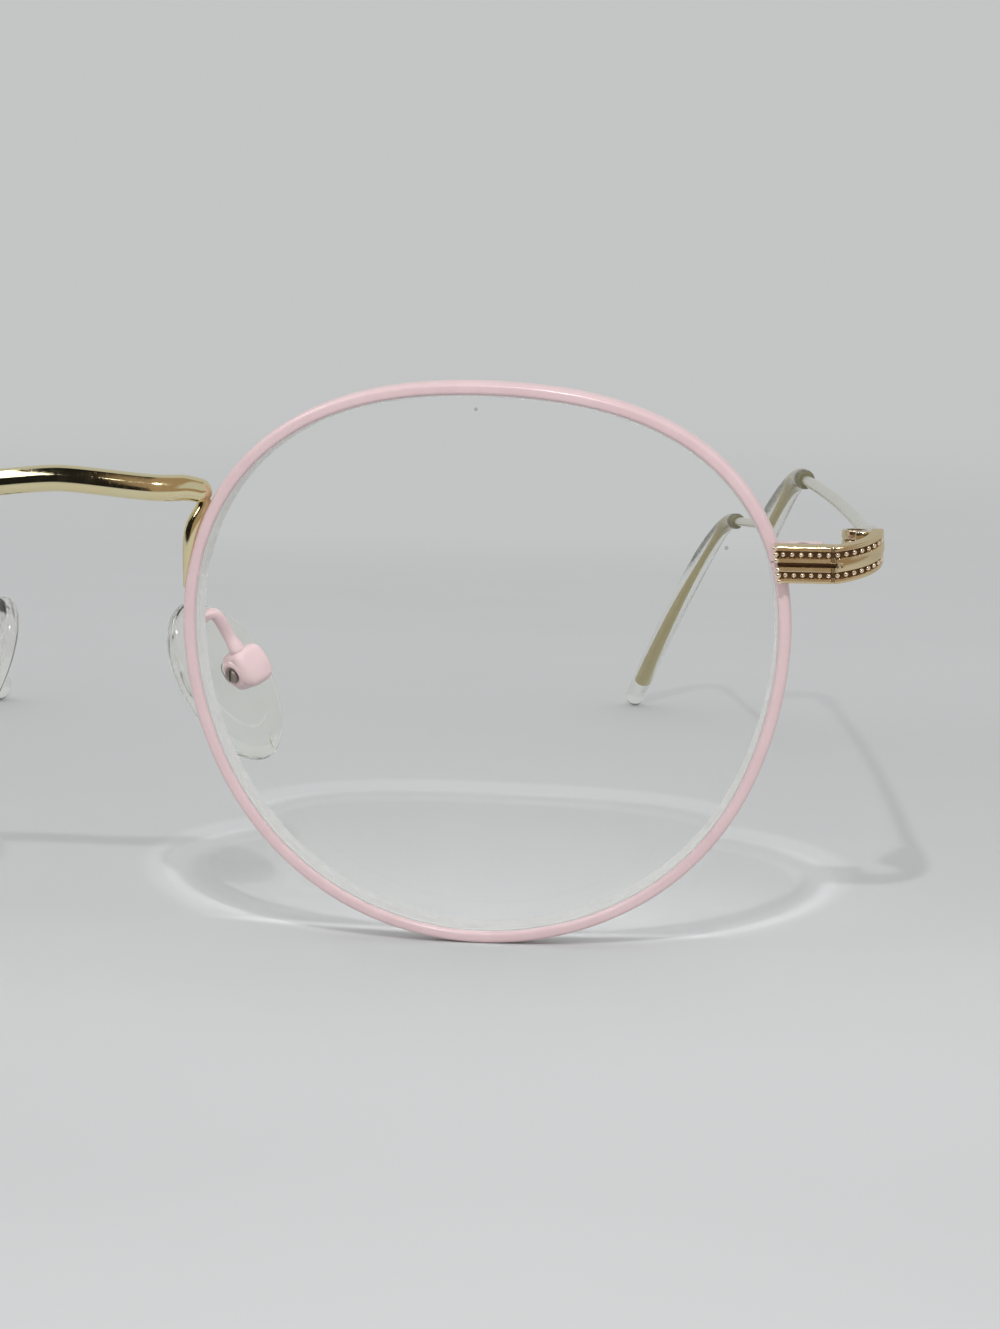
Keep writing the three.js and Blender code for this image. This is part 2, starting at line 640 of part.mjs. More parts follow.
function endpiece() {
  const section = plateSection();
  const outward = edgeNormal(CLOSING_ANGLE);
  const slantedUp = vec(-outward.y / outward.x, 0, 1);
  const frontHalf = PLATE_HEIGHT / 2;
  const bendHalf = PLATE_BEND_HEIGHT / 2;
  const forward = vec(0, -1, 0);
  const bend = evenly(0, 1, PLATE_BEND_STEPS).map((share) => {
    const turn = THREE.MathUtils.lerp(-Math.PI / 2, 0, share);
    const out = vec(Math.cos(turn), Math.sin(turn), 0);
    const at = PLATE_BEND_CENTRE.clone()
      .addScaledVector(out, PLATE_CORNER_RADIUS)
      .addScaledVector(Z, share * PLATE_BEND_RISE);
    return ringAt(section, at, out, Z, 1, THREE.MathUtils.lerp(frontHalf, bendHalf, share));
  });
  const tilted = [ringAt(section, PLATE_START, forward, slantedUp, 1, frontHalf), ...bend];
  const rearEnd = besideButt(-BUTT_GAP / 2);
  const rings = [
    ...tilted.map((ring) => ring.map(level)),
    ringAt(section, rearEnd, TEMPLE_OUT, Z, 1, PLATE_REAR_HEIGHT / 2),
  ];
  return bodyFromRings(rings, section);
}

// Hinge, about its own upright axis: x is outwards, y back along the temple

const KNUCKLE_TOP = BARREL_HEIGHT / 2;
const KNUCKLE_SEAM = MIDDLE_KNUCKLE_HEIGHT / 2 + PIVOT_GAP;
const LEAF_START = BARREL_RADIUS + PIVOT_GAP;
const HEAD_SEAT = KNUCKLE_TOP - HINGE_SCREW_HEAD_HEIGHT - PIVOT_GAP;

// One leaf: a plate along the metal it is soldered to, and a knuckle for each height range
function hingeLeaf(direction, knuckles) {
  const between = (x0, x1, y0, y1, z0, z1) => boxBetween(
    vec(x0, Math.min(direction * y0, direction * y1), z0),
    vec(x1, Math.max(direction * y0, direction * y1), z1),
  );
  const outside = BARREL_RADIUS;
  const inside = BARREL_RADIUS - LEAF_THICKNESS;
  const far = LEAF_START + LEAF_LENGTH;
  const plate = between(inside, outside, LEAF_START, far, -LEAF_HEIGHT / 2, LEAF_HEIGHT / 2);
  const barrels = knuckles.map(([low, high]) => uprightPin(BARREL_RADIUS, low, high));
  const webs = knuckles.map(([low, high]) => between(0, outside, 0, far / 2, low, high));
  const hole = uprightPin(HINGE_SCREW_RADIUS + PIVOT_GAP, -BARREL_HEIGHT, BARREL_HEIGHT);
  const counterbore = uprightPin(HINGE_SCREW_HEAD_RADIUS + PIVOT_GAP, HEAD_SEAT, BARREL_HEIGHT);
  return cut(join(plate, ...barrels, ...webs), hole, counterbore);
}

const frontLeaf = () => hingeLeaf(-1, [[KNUCKLE_SEAM, KNUCKLE_TOP], [-KNUCKLE_TOP, -KNUCKLE_SEAM]]);
const templeLeaf = () => hingeLeaf(1, [[-MIDDLE_KNUCKLE_HEIGHT / 2, MIDDLE_KNUCKLE_HEIGHT / 2]]);

function hingeScrew() {
  const screw = slottedScrew(
    HINGE_SCREW_RADIUS,
    KNUCKLE_TOP + HEAD_SEAT + PIVOT_GAP,
    HINGE_SCREW_HEAD_RADIUS,
    HINGE_SCREW_HEAD_HEIGHT,
  );
  return screw.translate(0, 0, -KNUCKLE_TOP);
}

// Temple: back from the hinge in a slight outward bow, then down and in behind the ear to the table

const ARM_START = BUTT.clone().addScaledVector(TEMPLE_BACK, ARM_PADDLE_LENGTH + ARM_TAPER_LENGTH);
const ARM_BEND = BUTT.clone().addScaledVector(TEMPLE_BACK, ARM_TO_BEND).addScaledVector(Z, -ARM_DROP);
const ARM_CURVE = new THREE.QuadraticBezierCurve3(
  ARM_START,
  ARM_START.clone().add(ARM_BEND).divideScalar(2).addScaledVector(TEMPLE_OUT, 2 * ARM_BOW),
  ARM_BEND,
);

function tipCurve(endHeight) {
  const end = ARM_BEND.clone()
    .addScaledVector(TEMPLE_BACK, TIP_REACH)
    .addScaledVector(TEMPLE_OUT, -TIP_INWARD)
    .setZ(endHeight);
  const drop = end.clone().sub(ARM_BEND);
  return new THREE.CubicBezierCurve3(
    ARM_BEND,
    ARM_BEND.clone().addScaledVector(ARM_CURVE.getTangent(1), TIP_START_HANDLE),
    end.clone().sub(drop.multiply(TIP_END_HANDLE)),
    end,
  );
}

// Rings of an upright section along the curve: x across, y up and square to the curve
function bentRings(curve, section, places, sizeAt) {
  return places.map((u) => {
    const tangent = curve.getTangentAt(u);
    const across = tangent.clone().cross(Z).normalize();
    const up = across.clone().cross(tangent);
    const { width, height } = sizeAt(u);
    return ringAt(section, curve.getPointAt(u), across, up, width, height);
  });
}

function templeTip(curve) {
  const section = roundedSection(TIP_SIDES, 2);
  const length = curve.getLength();
  const bore = ARM_RADIUS + SLEEVE_GAP;
  const boreEnd = 1 - (CORE_SHORT_OF_END - SLEEVE_GAP) / length;
  const outerAt = (u) => ({
    width: THREE.MathUtils.lerp(TIP_MOUTH_RADIUS, TIP_HALF_WIDTH, Math.min(1, u / TIP_WIDEST_AT)),
    height: THREE.MathUtils.lerp(TIP_MOUTH_RADIUS, TIP_HALF_HEIGHT, Math.min(1, u / TIP_DEEPEST_AT)),
  });
  const mouthPlace = [1 - TIP_BEFORE_BEND / ARM_CURVE.getLength()];
  const mouthRings = [bore, TIP_MOUTH_RADIUS].flatMap((radius) =>
    bentRings(ARM_CURVE, section, mouthPlace, () => ({ width: radius, height: radius })));
  const roundEnd = TIP_END_SHARES.map((share) => {
    const u = 1 - (TIP_HALF_WIDTH * (1 - share)) / length;
    const shrink = Math.sqrt(1 - Math.min(share, TIP_END_BLUNTEST) ** 2);
    const full = outerAt(u);
    return { u, width: full.width * shrink, height: full.height * shrink };
  });
  const endRings = roundEnd.flatMap(({ u, width, height }) =>
    bentRings(curve, section, [u], () => ({ width, height })));
  const rings = [
    ...bentRings(curve, section, evenly(boreEnd, 0, TIP_STEPS), () => ({ width: bore, height: bore })),
    ...mouthRings,
    ...bentRings(curve, section, evenly(0, 1 - TIP_HALF_WIDTH / length, TIP_STEPS), outerAt),
    ...endRings,
  ];
  return bodyFromRings(rings, section);
}

// The arm starts as a flat paddle at the hinge, thins to a wire, and runs on inside the tip.
function templeArm(curve) {
  const flat = roundedSection(TIP_SIDES, PADDLE_SQUARENESS);
  const round = roundedSection(TIP_SIDES, 2);
  const across = TEMPLE_BACK.clone().cross(Z).normalize();
  const paddle = [PLATE_THICKNESS / 2, PLATE_REAR_HEIGHT / 2];
  const coreEnd = 1 - CORE_SHORT_OF_END / curve.getLength();
  const thin = () => ({ width: ARM_RADIUS, height: ARM_RADIUS });
  const rings = [
    ringAt(flat, besideButt(BUTT_GAP / 2), across, Z, ...paddle),
    ringAt(flat, besideButt(ARM_PADDLE_LENGTH), across, Z, ...paddle),
    ...bentRings(ARM_CURVE, round, evenly(0, 1, ARM_STEPS).slice(0, -1), thin),
    ...bentRings(curve, round, evenly(0, coreEnd, TIP_STEPS), thin),
  ];
  return bodyFromRings(rings, round);
}

function lowest(geometry) {
  geometry.computeBoundingBox();
  return geometry.boundingBox.min.z;
}

// The table is where the tilted rims stand, and the temples bend just enough for their tips to reach it.
const TABLE = lowest(eyewire().rotateX(FRONT_TILT));
let tipRoute = tipCurve(TABLE + TIP_HALF_HEIGHT);
for (let round = 0; round < TIP_FITTING_ROUNDS; round++) {
  const miss = lowest(templeTip(tipRoute)) - TABLE;
  tipRoute = tipCurve(tipRoute.getPoint(1).z - miss);
}

// Assembly

function piece(name, geometry, finish, parent) {
  const mesh = new THREE.Mesh(geometry, new THREE.MeshStandardMaterial(finish));
  mesh.name = name;
  parent.add(mesh);
}

// One half of the glasses on the +X side; the other half is its mirror image.
function addSide(parent, side, mirror) {
  const half = new THREE.Group();
  half.scale.x = mirror;
  parent.add(half);

  const front = new THREE.Group();
  front.rotation.x = FRONT_TILT;
  half.add(front);
  const blockAt = (from, to) => closingBlock(ENDPIECE_HEIGHT + from, ENDPIECE_HEIGHT + to);
  const upperBlock = blockAt(RIM_SPLIT / 2, BLOCK_HEIGHT / 2);
  const lowerBlock = blockAt(-BLOCK_HEIGHT / 2, -RIM_SPLIT / 2);
  piece(`rim_${side}`, eyewire(), FINISH.pinkLacquer, front);
  piece(`lens_${side}`, lens(), FINISH.clearLens, front);
  piece(`pad_arm_${side}`, padArm(), FINISH.pinkLacquer, front);
  piece(`closing_block_upper_${side}`, upperBlock, FINISH.pinkLacquer, front);
  piece(`closing_block_lower_${side}`, lowerBlock, FINISH.pinkLacquer, front);
  piece(`rim_screw_${side}`, rimScrew(), FINISH.steel, front);

  const padSeat = new THREE.Group();
  padSeat.applyMatrix4(PAD_FRAME);
  front.add(padSeat);
  piece(`pad_box_${side}`, padBox(), FINISH.pinkLacquer, padSeat);
  piece(`pad_screw_${side}`, padScrew(), FINISH.steel, padSeat);
  piece(`pad_core_${side}`, padCore(), FINISH.clearPad, padSeat);
  piece(`nose_pad_${side}`, nosePad(), FINISH.clearPad, padSeat);

  piece(`endpiece_${side}`, endpiece(), FINISH.paleGold, half);
  const hinge = new THREE.Group();
  hinge.position.copy(HINGE_AXIS);
  half.add(hinge);
  piece(`hinge_front_leaf_${side}`, frontLeaf(), FINISH.paleGold, hinge);
  piece(`hinge_screw_${side}`, hingeScrew(), FINISH.steel, hinge);
  const toedIn = new THREE.Group();
  toedIn.rotation.z = TOE_IN;
  hinge.add(toedIn);
  piece(`hinge_temple_leaf_${side}`, templeLeaf(), FINISH.paleGold, toedIn);
  piece(`temple_arm_${side}`, templeArm(tipRoute), FINISH.paleGold, half);
  piece(`temple_tip_${side}`, templeTip(tipRoute), FINISH.clearTip, half);
}

const glasses = new THREE.Group();
const bridgeSeat = new THREE.Group();
bridgeSeat.rotation.x = FRONT_TILT;
glasses.add(bridgeSeat);
piece('bridge', bridge(), FINISH.paleGold, bridgeSeat);
addSide(glasses, 'left', 1);
addSide(glasses, 'right', -1);

// Set the glasses down with the middle of their outline over the origin.
const outline = new THREE.Box3().setFromObject(glasses, true);
const middle = outline.getCenter(vec());
glasses.position.set(-middle.x, -middle.y, -outline.min.z);

export default glasses;
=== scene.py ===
"""Round wire-rim eyeglasses: the finished look of every piece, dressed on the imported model.

The glasses stand open on their rims and ear tips. +X is the wearer's left, +Y points back along the
temples and +Z is up. Sizes are written in millimetres, and the finished meshes are in metres.
"""

import json
import logging
import math
from bisect import bisect_right
from dataclasses import dataclass, field
from enum import Enum
from functools import cached_property
from typing import Callable, Optional, Sequence, Union

import bmesh
import bpy
import numpy as np
from mathutils import Matrix, Vector


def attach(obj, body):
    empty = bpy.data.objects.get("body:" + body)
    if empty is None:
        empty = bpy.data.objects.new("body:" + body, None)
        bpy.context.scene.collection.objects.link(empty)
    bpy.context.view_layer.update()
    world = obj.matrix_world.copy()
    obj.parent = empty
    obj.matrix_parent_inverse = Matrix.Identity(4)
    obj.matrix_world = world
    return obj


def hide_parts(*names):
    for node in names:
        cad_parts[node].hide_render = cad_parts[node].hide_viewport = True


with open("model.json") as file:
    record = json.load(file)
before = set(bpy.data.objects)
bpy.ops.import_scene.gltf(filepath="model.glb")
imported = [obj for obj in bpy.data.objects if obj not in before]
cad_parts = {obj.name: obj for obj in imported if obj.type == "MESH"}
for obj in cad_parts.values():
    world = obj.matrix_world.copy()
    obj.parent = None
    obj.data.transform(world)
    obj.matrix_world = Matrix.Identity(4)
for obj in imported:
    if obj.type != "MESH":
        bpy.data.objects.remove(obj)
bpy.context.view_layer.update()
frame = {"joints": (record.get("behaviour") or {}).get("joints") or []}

LOG = logging.getLogger("eyeglasses")
MM = 0.001
WELD = 1e-7
X = Vector((1, 0, 0))
Y = Vector((0, 1, 0))
Z = Vector((0, 0, 1))
ACROSS = Matrix.Rotation(math.pi / 2, 4, "Y")
DOME = [math.radians(turn) for turn in (0, 22, 45, 68, 90)]
Ring = list[Vector]
Pair = tuple[float, float]
Place = tuple[float, float, float]
Colour = tuple[float, float, float]
Socket = bpy.types.NodeSocket
SocketValue = Union[Socket, float, Sequence[float]]


class Side(Enum):
    """The wearer's two sides, each with the sign that X has there."""

    LEFT = 1
    RIGHT = -1

    @property
    def label(self) -> str:
        """The side's name in lower case."""
        return self.name.lower()


class Mark(Enum):
    """Values painted on the corners of a form, which its finish reads."""

    # Where a metal finish paints shade: a dark colour and more roughness.
    PAINTED_SHADE = "painted_shade"
    # Marks the lens's ground edge, which gets a frosting with a painted glow, and the sleeve's mouth, which
    # gets painted shade.
    GROUND_EDGE_AND_MOUTH_SHADE = "ground_edge_and_mouth_shade"


def mix(a: float, b: float, share: float) -> float:
    """The value between a and b at a share from 0 to 1."""
    return a + (b - a) * share


def ease(low: float, high: float, value: float) -> float:
    """A smooth step from 0 at low to 1 at high."""
    share = min(1.0, max(0.0, (value - low) / (high - low)))
    return share * share * (3 - 2 * share)


def evenly(low: float, high: float, steps: int) -> list[float]:
    """Values from low to high in equal steps, both ends included."""
    return [mix(low, high, i / steps) for i in range(steps + 1)]


def new_object(name: str, data: bpy.types.ID) -> bpy.types.Object:
    """A new object of the scene, at the origin."""
    made = bpy.data.objects.new(name, data)
    bpy.context.scene.collection.objects.link(made)
    return made


def opaque(colour: Colour) -> tuple[float, ...]:
    """A colour with full alpha."""
    return (*colour, 1.0)


def scaled(colour: Colour, *shares: float) -> Colour:
    """A colour with its parts scaled, by one share or by one for each part."""
    return tuple(part * share for part, share in zip(colour, shares * 3 if len(shares) == 1 else shares))


class Form:
    """A closed shape in millimetres that can be moved, cut and joined before it is seated."""

    def __init__(self, corners: Sequence[Vector], faces: Sequence[Sequence[int]],
                 marks: Optional[Sequence[float]] = None) -> None:
        """Keeps the shape's parts.

        Args:
            corners: Places of the corners.
            faces: Corner numbers of each face.
            marks: One painted value for each corner, or nothing.
        """
        self.corners = list(corners)
        self.faces = [tuple(face) for face in faces]
        self.marks = list(marks) if marks else []

    @classmethod
    def loft(cls, rings: Sequence[Ring], marks: Optional[Sequence[float]] = None) -> "Form":
        """Skins a row of rings that have equal corner counts, and caps both ends.

        Args:
            rings: The rings, from one end to the other.
            marks: One painted value for each corner, in the rings' order.

        Returns:
            The closed form.
        """
        count = len(rings[0])
        corners = [corner for ring in rings for corner in ring]
        faces: list[Sequence[int]] = []
        for here in range(0, len(corners) - count, count):
            there = here + count
            for i in range(count):
                j = (i + 1) % count
                faces.append((here + i, here + j, there + j, there + i))
        for ring, first in ((rings[0], 0), (rings[-1], len(corners) - count)):
            if (ring[0] - ring[count // 2]).length > WELD:
                faces.append(range(first, first + count))
        return cls(corners, faces, marks)

    @classmethod
    def lathe(cls, profile: Sequence[Pair], sides: int = 48) -> "Form":
        """Turns a profile about Z.

        Args:
            profile: Radius and height of each point, from the bottom of the axis to its top.
            sides: Corners in one turn.

        Returns:
            The turned form.
        """
        turns = [math.tau * i / sides for i in range(sides)]
        return cls.loft([[Vector((r * math.cos(t), r * math.sin(t), z)) for t in turns]
                         for r, z in profile])

    @classmethod
    def rod(cls, radius: float, low: float, high: float) -> "Form":
        """A plain round rod along Z, which cuts a hole."""
        return cls.lathe([(0, low), (radius, low), (radius, high), (0, high)])

    @classmethod
    def block(cls, outline: Sequence[Pair], low: float, high: float,
              edge: float) -> "Form":
        """An upright prism with rounded edges.

        Args:
            outline: Corners of its floor, in order.
            low: Height of its floor.
            high: Height of its top.
            edge: Width of the rounding.

        Returns:
            The prism.
        """
        prism = cls.loft([[Vector((x, y, z)) for x, y in outline] for z in (low, high)])
        shape = bmesh.new()
        corners = [shape.verts.new(corner) for corner in prism.corners]
        for face in prism.faces:
            shape.faces.new([corners[i] for i in face])
        bmesh.ops.bevel(shape, geom=shape.edges[:], offset=edge, segments=3, profile=0.5,
                        affect="EDGES")
        shape.verts.index_update()
        made = cls([vert.co.copy() for vert in shape.verts],
                   [[vert.index for vert in face.verts] for face in shape.faces])
        shape.free()
        return made

    @classmethod
    def box(cls, low: Sequence[float], high: Sequence[float], edge: float) -> "Form":
        """A box with rounded edges between two opposite corners."""
        outline = [(low[0], low[1]), (high[0], low[1]), (high[0], high[1]), (low[0], high[1])]
        return cls.block(outline, low[2], high[2], edge)

    def moved(self, place: Union[Matrix, Callable[[Vector], Vector]]) -> "Form":
        """A copy with every corner put through a matrix or a function."""
        move = (lambda corner: place @ corner) if isinstance(place, Matrix) else place
        return Form([move(corner) for corner in self.corners], self.faces, self.marks)

    def cut(self, *tools: "Form") -> "Form":
        """A copy with the tools taken away from it."""
        return self._combined("DIFFERENCE", tools)

    def joined(self, *others: "Form") -> "Form":
        """A copy grown together with the others."""
        return self._combined("UNION", others)

    def _combined(self, operation: str, others: Sequence["Form"]) -> "Form":
        """Runs exact booleans with each of the others in turn.

        Args:
            operation: DIFFERENCE or UNION.
            others: The forms to take away or to add.

        Returns:
            The result, without painted values.
        """
        base = self.to_object("base", Vector())
        helpers = [other.to_object("helper", Vector()) for other in others]
        for helper in helpers:
            step = base.modifiers.new("combine", "BOOLEAN")
            step.operation = operation
            step.solver = "EXACT"
            step.object = helper
        graph = bpy.context.evaluated_depsgraph_get()
        mesh = bpy.data.meshes.new_from_object(base.evaluated_get(graph))
        made = Form([vert.co / MM for vert in mesh.vertices], [face.vertices for face in mesh.polygons])
        bpy.data.meshes.remove(mesh)
        for thing in [base, *helpers]:
            bpy.data.meshes.remove(thing.data)
        return made

    def to_object(self, name: str, settle: Vector, side: Side = Side.LEFT,
                  mark: Optional[Mark] = None) -> bpy.types.Object:
        """Makes a mesh object in metres, at the origin, with its faces pointing out.

        Args:
            name: The object's name.
            settle: How far the form moves to its place in the frame, in millimetres.
            side: The wearer's side, where RIGHT mirrors the form.
            mark: What the painted values are called.

        Returns:
            The new object.
        """
        turned = Vector((side.value, 1, 1))
        mesh = bpy.data.meshes.new(name)
        mesh.from_pydata([(corner + settle) * turned * MM for corner in self.corners], [], self.faces)
        if mark and self.marks:
            painted = mesh.attributes.new(mark.value, "FLOAT", "POINT")
            painted.data.foreach_set("value", self.marks)
        shape = bmesh.new()
        shape.from_mesh(mesh)
        bmesh.ops.remove_doubles(shape, verts=shape.verts, dist=WELD)
        bmesh.ops.recalc_face_normals(shape, faces=shape.faces)
        shape.to_mesh(mesh)
        shape.free()
        return new_object(name, mesh)


class Route:
    """A smooth line in millimetres, walked by shares of its length."""

    def __init__(self, points: Sequence[Vector]) -> None:
        """Keeps close-set points and the length walked at each."""
        self.points = list(points)
        self.walked = [0.0]
        for a, b in zip(self.points, self.points[1:]):
            self.walked.append(self.walked[-1] + (b - a).length)
        self.length = self.walked[-1]

    @classmethod
    def bezier(cls, *handles: Vector, samples: int = 400) -> "Route":
        """A Bezier curve with any number of handles."""
        points = []
        for share in evenly(0, 1, samples):
            row = list(handles)
            while len(row) > 1:
                row = [a.lerp(b, share) for a, b in zip(row, row[1:])]
            points.append(row[0])
        return cls(points)

    @classmethod
    def spline(cls, stops: Sequence[Vector], samples: int = 60) -> "Route":
        """A centripetal spline through every stop.

        Args:
            stops: The points that it passes through.
            samples: Points made for each span.

        Returns:
            The route.
        """
        row = [2 * stops[0] - stops[1], *stops, 2 * stops[-1] - stops[-2]]
        points = []
        for before, start, end, after in zip(row, row[1:], row[2:], row[3:]):
            gaps = [math.sqrt((b - a).length) for a, b in ((before, start), (start, end), (end, after))]
            leave = (start - before) / gaps[0] + (end - start) / gaps[1]
            leave -= (end - before) / (gaps[0] + gaps[1])
            arrive = (end - start) / gaps[1] - (after - start) / (gaps[1] + gaps[2]) + (after - end) / gaps[2]
            for t in evenly(0, 1, samples)[:-1]:
                points.append(start * (2 * t ** 3 - 3 * t ** 2 + 1) + end * (3 * t ** 2 - 2 * t ** 3)
                              + leave * gaps[1] * (t ** 3 - 2 * t ** 2 + t)
                              + arrive * gaps[1] * (t ** 3 - t ** 2))
        return cls([*points, stops[-1].copy()])

    def at(self, share: float) -> Vector:
        """The point at a share of the length, from 0 to 1."""
        target = min(1.0, max(0.0, share)) * self.length
        low = min(bisect_right(self.walked, target), len(self.walked) - 1) - 1
        span = self.walked[low + 1] - self.walked[low]
        return self.points[low].lerp(self.points[low + 1], (target - self.walked[low]) / span)

    def tangent(self, share: float) -> Vector:
        """The direction of travel at a share of the length."""
        step = 2e-3
        return (self.at(share + step) - self.at(share - step)).normalized()


def rounded_section(sides: int, power: float) -> list[Pair]:
    """A unit outline between a circle (power 2) and a square with round corners (a high power)."""
    def bulge(value: float) -> float:
        """The coordinate for a sine or cosine."""
        return math.copysign(abs(value) ** (2 / power), value)
    turns = [math.tau * (i + 0.5) / sides for i in range(sides)]
    return [(bulge(math.cos(turn)), bulge(math.sin(turn))) for turn in turns]


def ring_at(section: Sequence[Pair], at: Vector, across: Vector, up: Vector,
            width: float, height: float) -> Ring:
    """The section's corners about a point, scaled along two directions."""
    return [at + across * (x * width) + up * (y * height) for x, y in section]


def tube(route: Route, radius_at: Callable[[float], float], steps: int, sides: int = 28) -> Form:
    """A round wire along a route, with domed ends.

    Args:
        route: The wire's middle line.
        radius_at: Radius at a share of the length.
        steps: Rings along the wire.
        sides: Corners of each ring.

    Returns:
        The wire.
    """
    first, last = radius_at(0), radius_at(1)
    stations = [(first * (1 - math.cos(turn)) / route.length, math.sin(turn)) for turn in DOME]
    stations += [(share, 1.0) for share in evenly(0, 1, steps)
                 if first < share * route.length < route.length - last]
    stations += [(1 - last * (1 - math.cos(turn)) / route.length, math.sin(turn))
                 for turn in reversed(DOME)]
    section = rounded_section(sides, 2)
    up = route.tangent(0).orthogonal().normalized()
    rings = []
    for share, narrowing in stations:
        along = route.tangent(share)
        up = (up - along * up.dot(along)).normalized()
        radius = radius_at(share) * narrowing
        rings.append(ring_at(section, route.at(share), along.cross(up), up, radius, radius))
    return Form.loft(rings)


def slotted_screw(shank: float, length: float, head: float, height: float) -> Form:
    """A slotted screw along Z.

    Args:
        shank: Radius of the shank, which ends at 0.
        length: Length of the shank.
        head: Radius of the head.
        height: Height of the head above the shank.

    Returns:
        The screw.
    """
    top = length + height
    crown = 0.35 * height
    chamfer = 0.08
    slot_half, slot_depth, slot_edge = 0.125, 0.14, 0.01
    profile = [(0, 0), (shank - chamfer, 0), (shank, chamfer), (shank, length), (head, length)]
    profile += [(head - crown * (1 - math.cos(turn)), top - crown * (1 - math.sin(turn)))
                for turn in evenly(0, math.pi / 2, 5)]
    slot = Form.box((-2 * head, -slot_half, top - slot_depth), (2 * head, slot_half, top + height), slot_edge)
    return Form.lathe([*profile, (0.02, top), (0, top)], 40).cut(slot)


class Wiring:
    """Adds and links the nodes of one node tree."""

    def __init__(self, tree: bpy.types.NodeTree) -> None:
        """Keeps the tree and empties it."""
        self.tree = tree
        self.tree.nodes.clear()

    def plug(self, value: SocketValue, socket: Socket) -> None:
        """Links another node's output to a socket, or sets the socket's own value."""
        if isinstance(value, Socket):
            self.tree.links.new(value, socket)
        else:
            socket.default_value = value

    def add(self, kind: str, inputs: Optional[dict[Union[str, int], SocketValue]] = None,
            **settings: object) -> bpy.types.Node:
        """Adds one node.

        Args:
            kind: The node's type name.
            inputs: A value or another node's output for each named or numbered input.
            settings: The node's own options.

        Returns:
            The new node.
        """
        node = self.tree.nodes.new(kind)
        for name, value in settings.items():
            setattr(node, name, value)
        for socket, value in (inputs or {}).items():
            self.plug(value, node.inputs[socket])
        return node

    def math(self, operation: str, *values: SocketValue) -> Socket:
        """Adds a Math node and gives its output."""
        return self.add("ShaderNodeMath", dict(enumerate(values)), operation=operation).outputs[0]

    def remap(self, value: Socket, low: float, high: float, to_low: float, to_high: float) -> Socket:
        """Maps a value smoothly from one range to another."""
        return self.add("ShaderNodeMapRange", {0: value, 1: low, 2: high, 3: to_low, 4: to_high},
                        interpolation_type="SMOOTHSTEP").outputs[0]

    def blend(self, share: SocketValue, first: SocketValue, second: SocketValue) -> Socket:
        """Mixes two colours."""
        return self.add("ShaderNodeMix", {0: share, 6: first, 7: second}, data_type="RGBA").outputs[2]

    def group(self, tree: bpy.types.NodeTree, **inputs: SocketValue) -> bpy.types.Node:
        """Places a node group with its own values, where a name's _ stands for a space."""
        node = self.add("ShaderNodeGroup", node_tree=tree)
        for name, value in inputs.items():
            self.plug(value, node.inputs[name.replace("_", " ").title()])
        return node


def new_group(name: str, inputs: dict[str, str], outputs: dict[str, str],
              kind: str = "ShaderNodeTree") -> Wiring:
    """Starts a node group.

    Args:
        name: The group's name.
        inputs: What each named input takes, such as Float.
        outputs: What each named output gives.
        kind: The type of its tree.

    Returns:
        The wiring of the empty group, whose tree has the sockets.
    """
    tree = bpy.data.node_groups.new(name, kind)
    for in_out, sockets in (("INPUT", inputs), ("OUTPUT", outputs)):
        for label, content in sockets.items():
            tree.interface.new_socket(label, in_out=in_out, socket_type=f"NodeSocket{content}")
    return Wiring(tree)


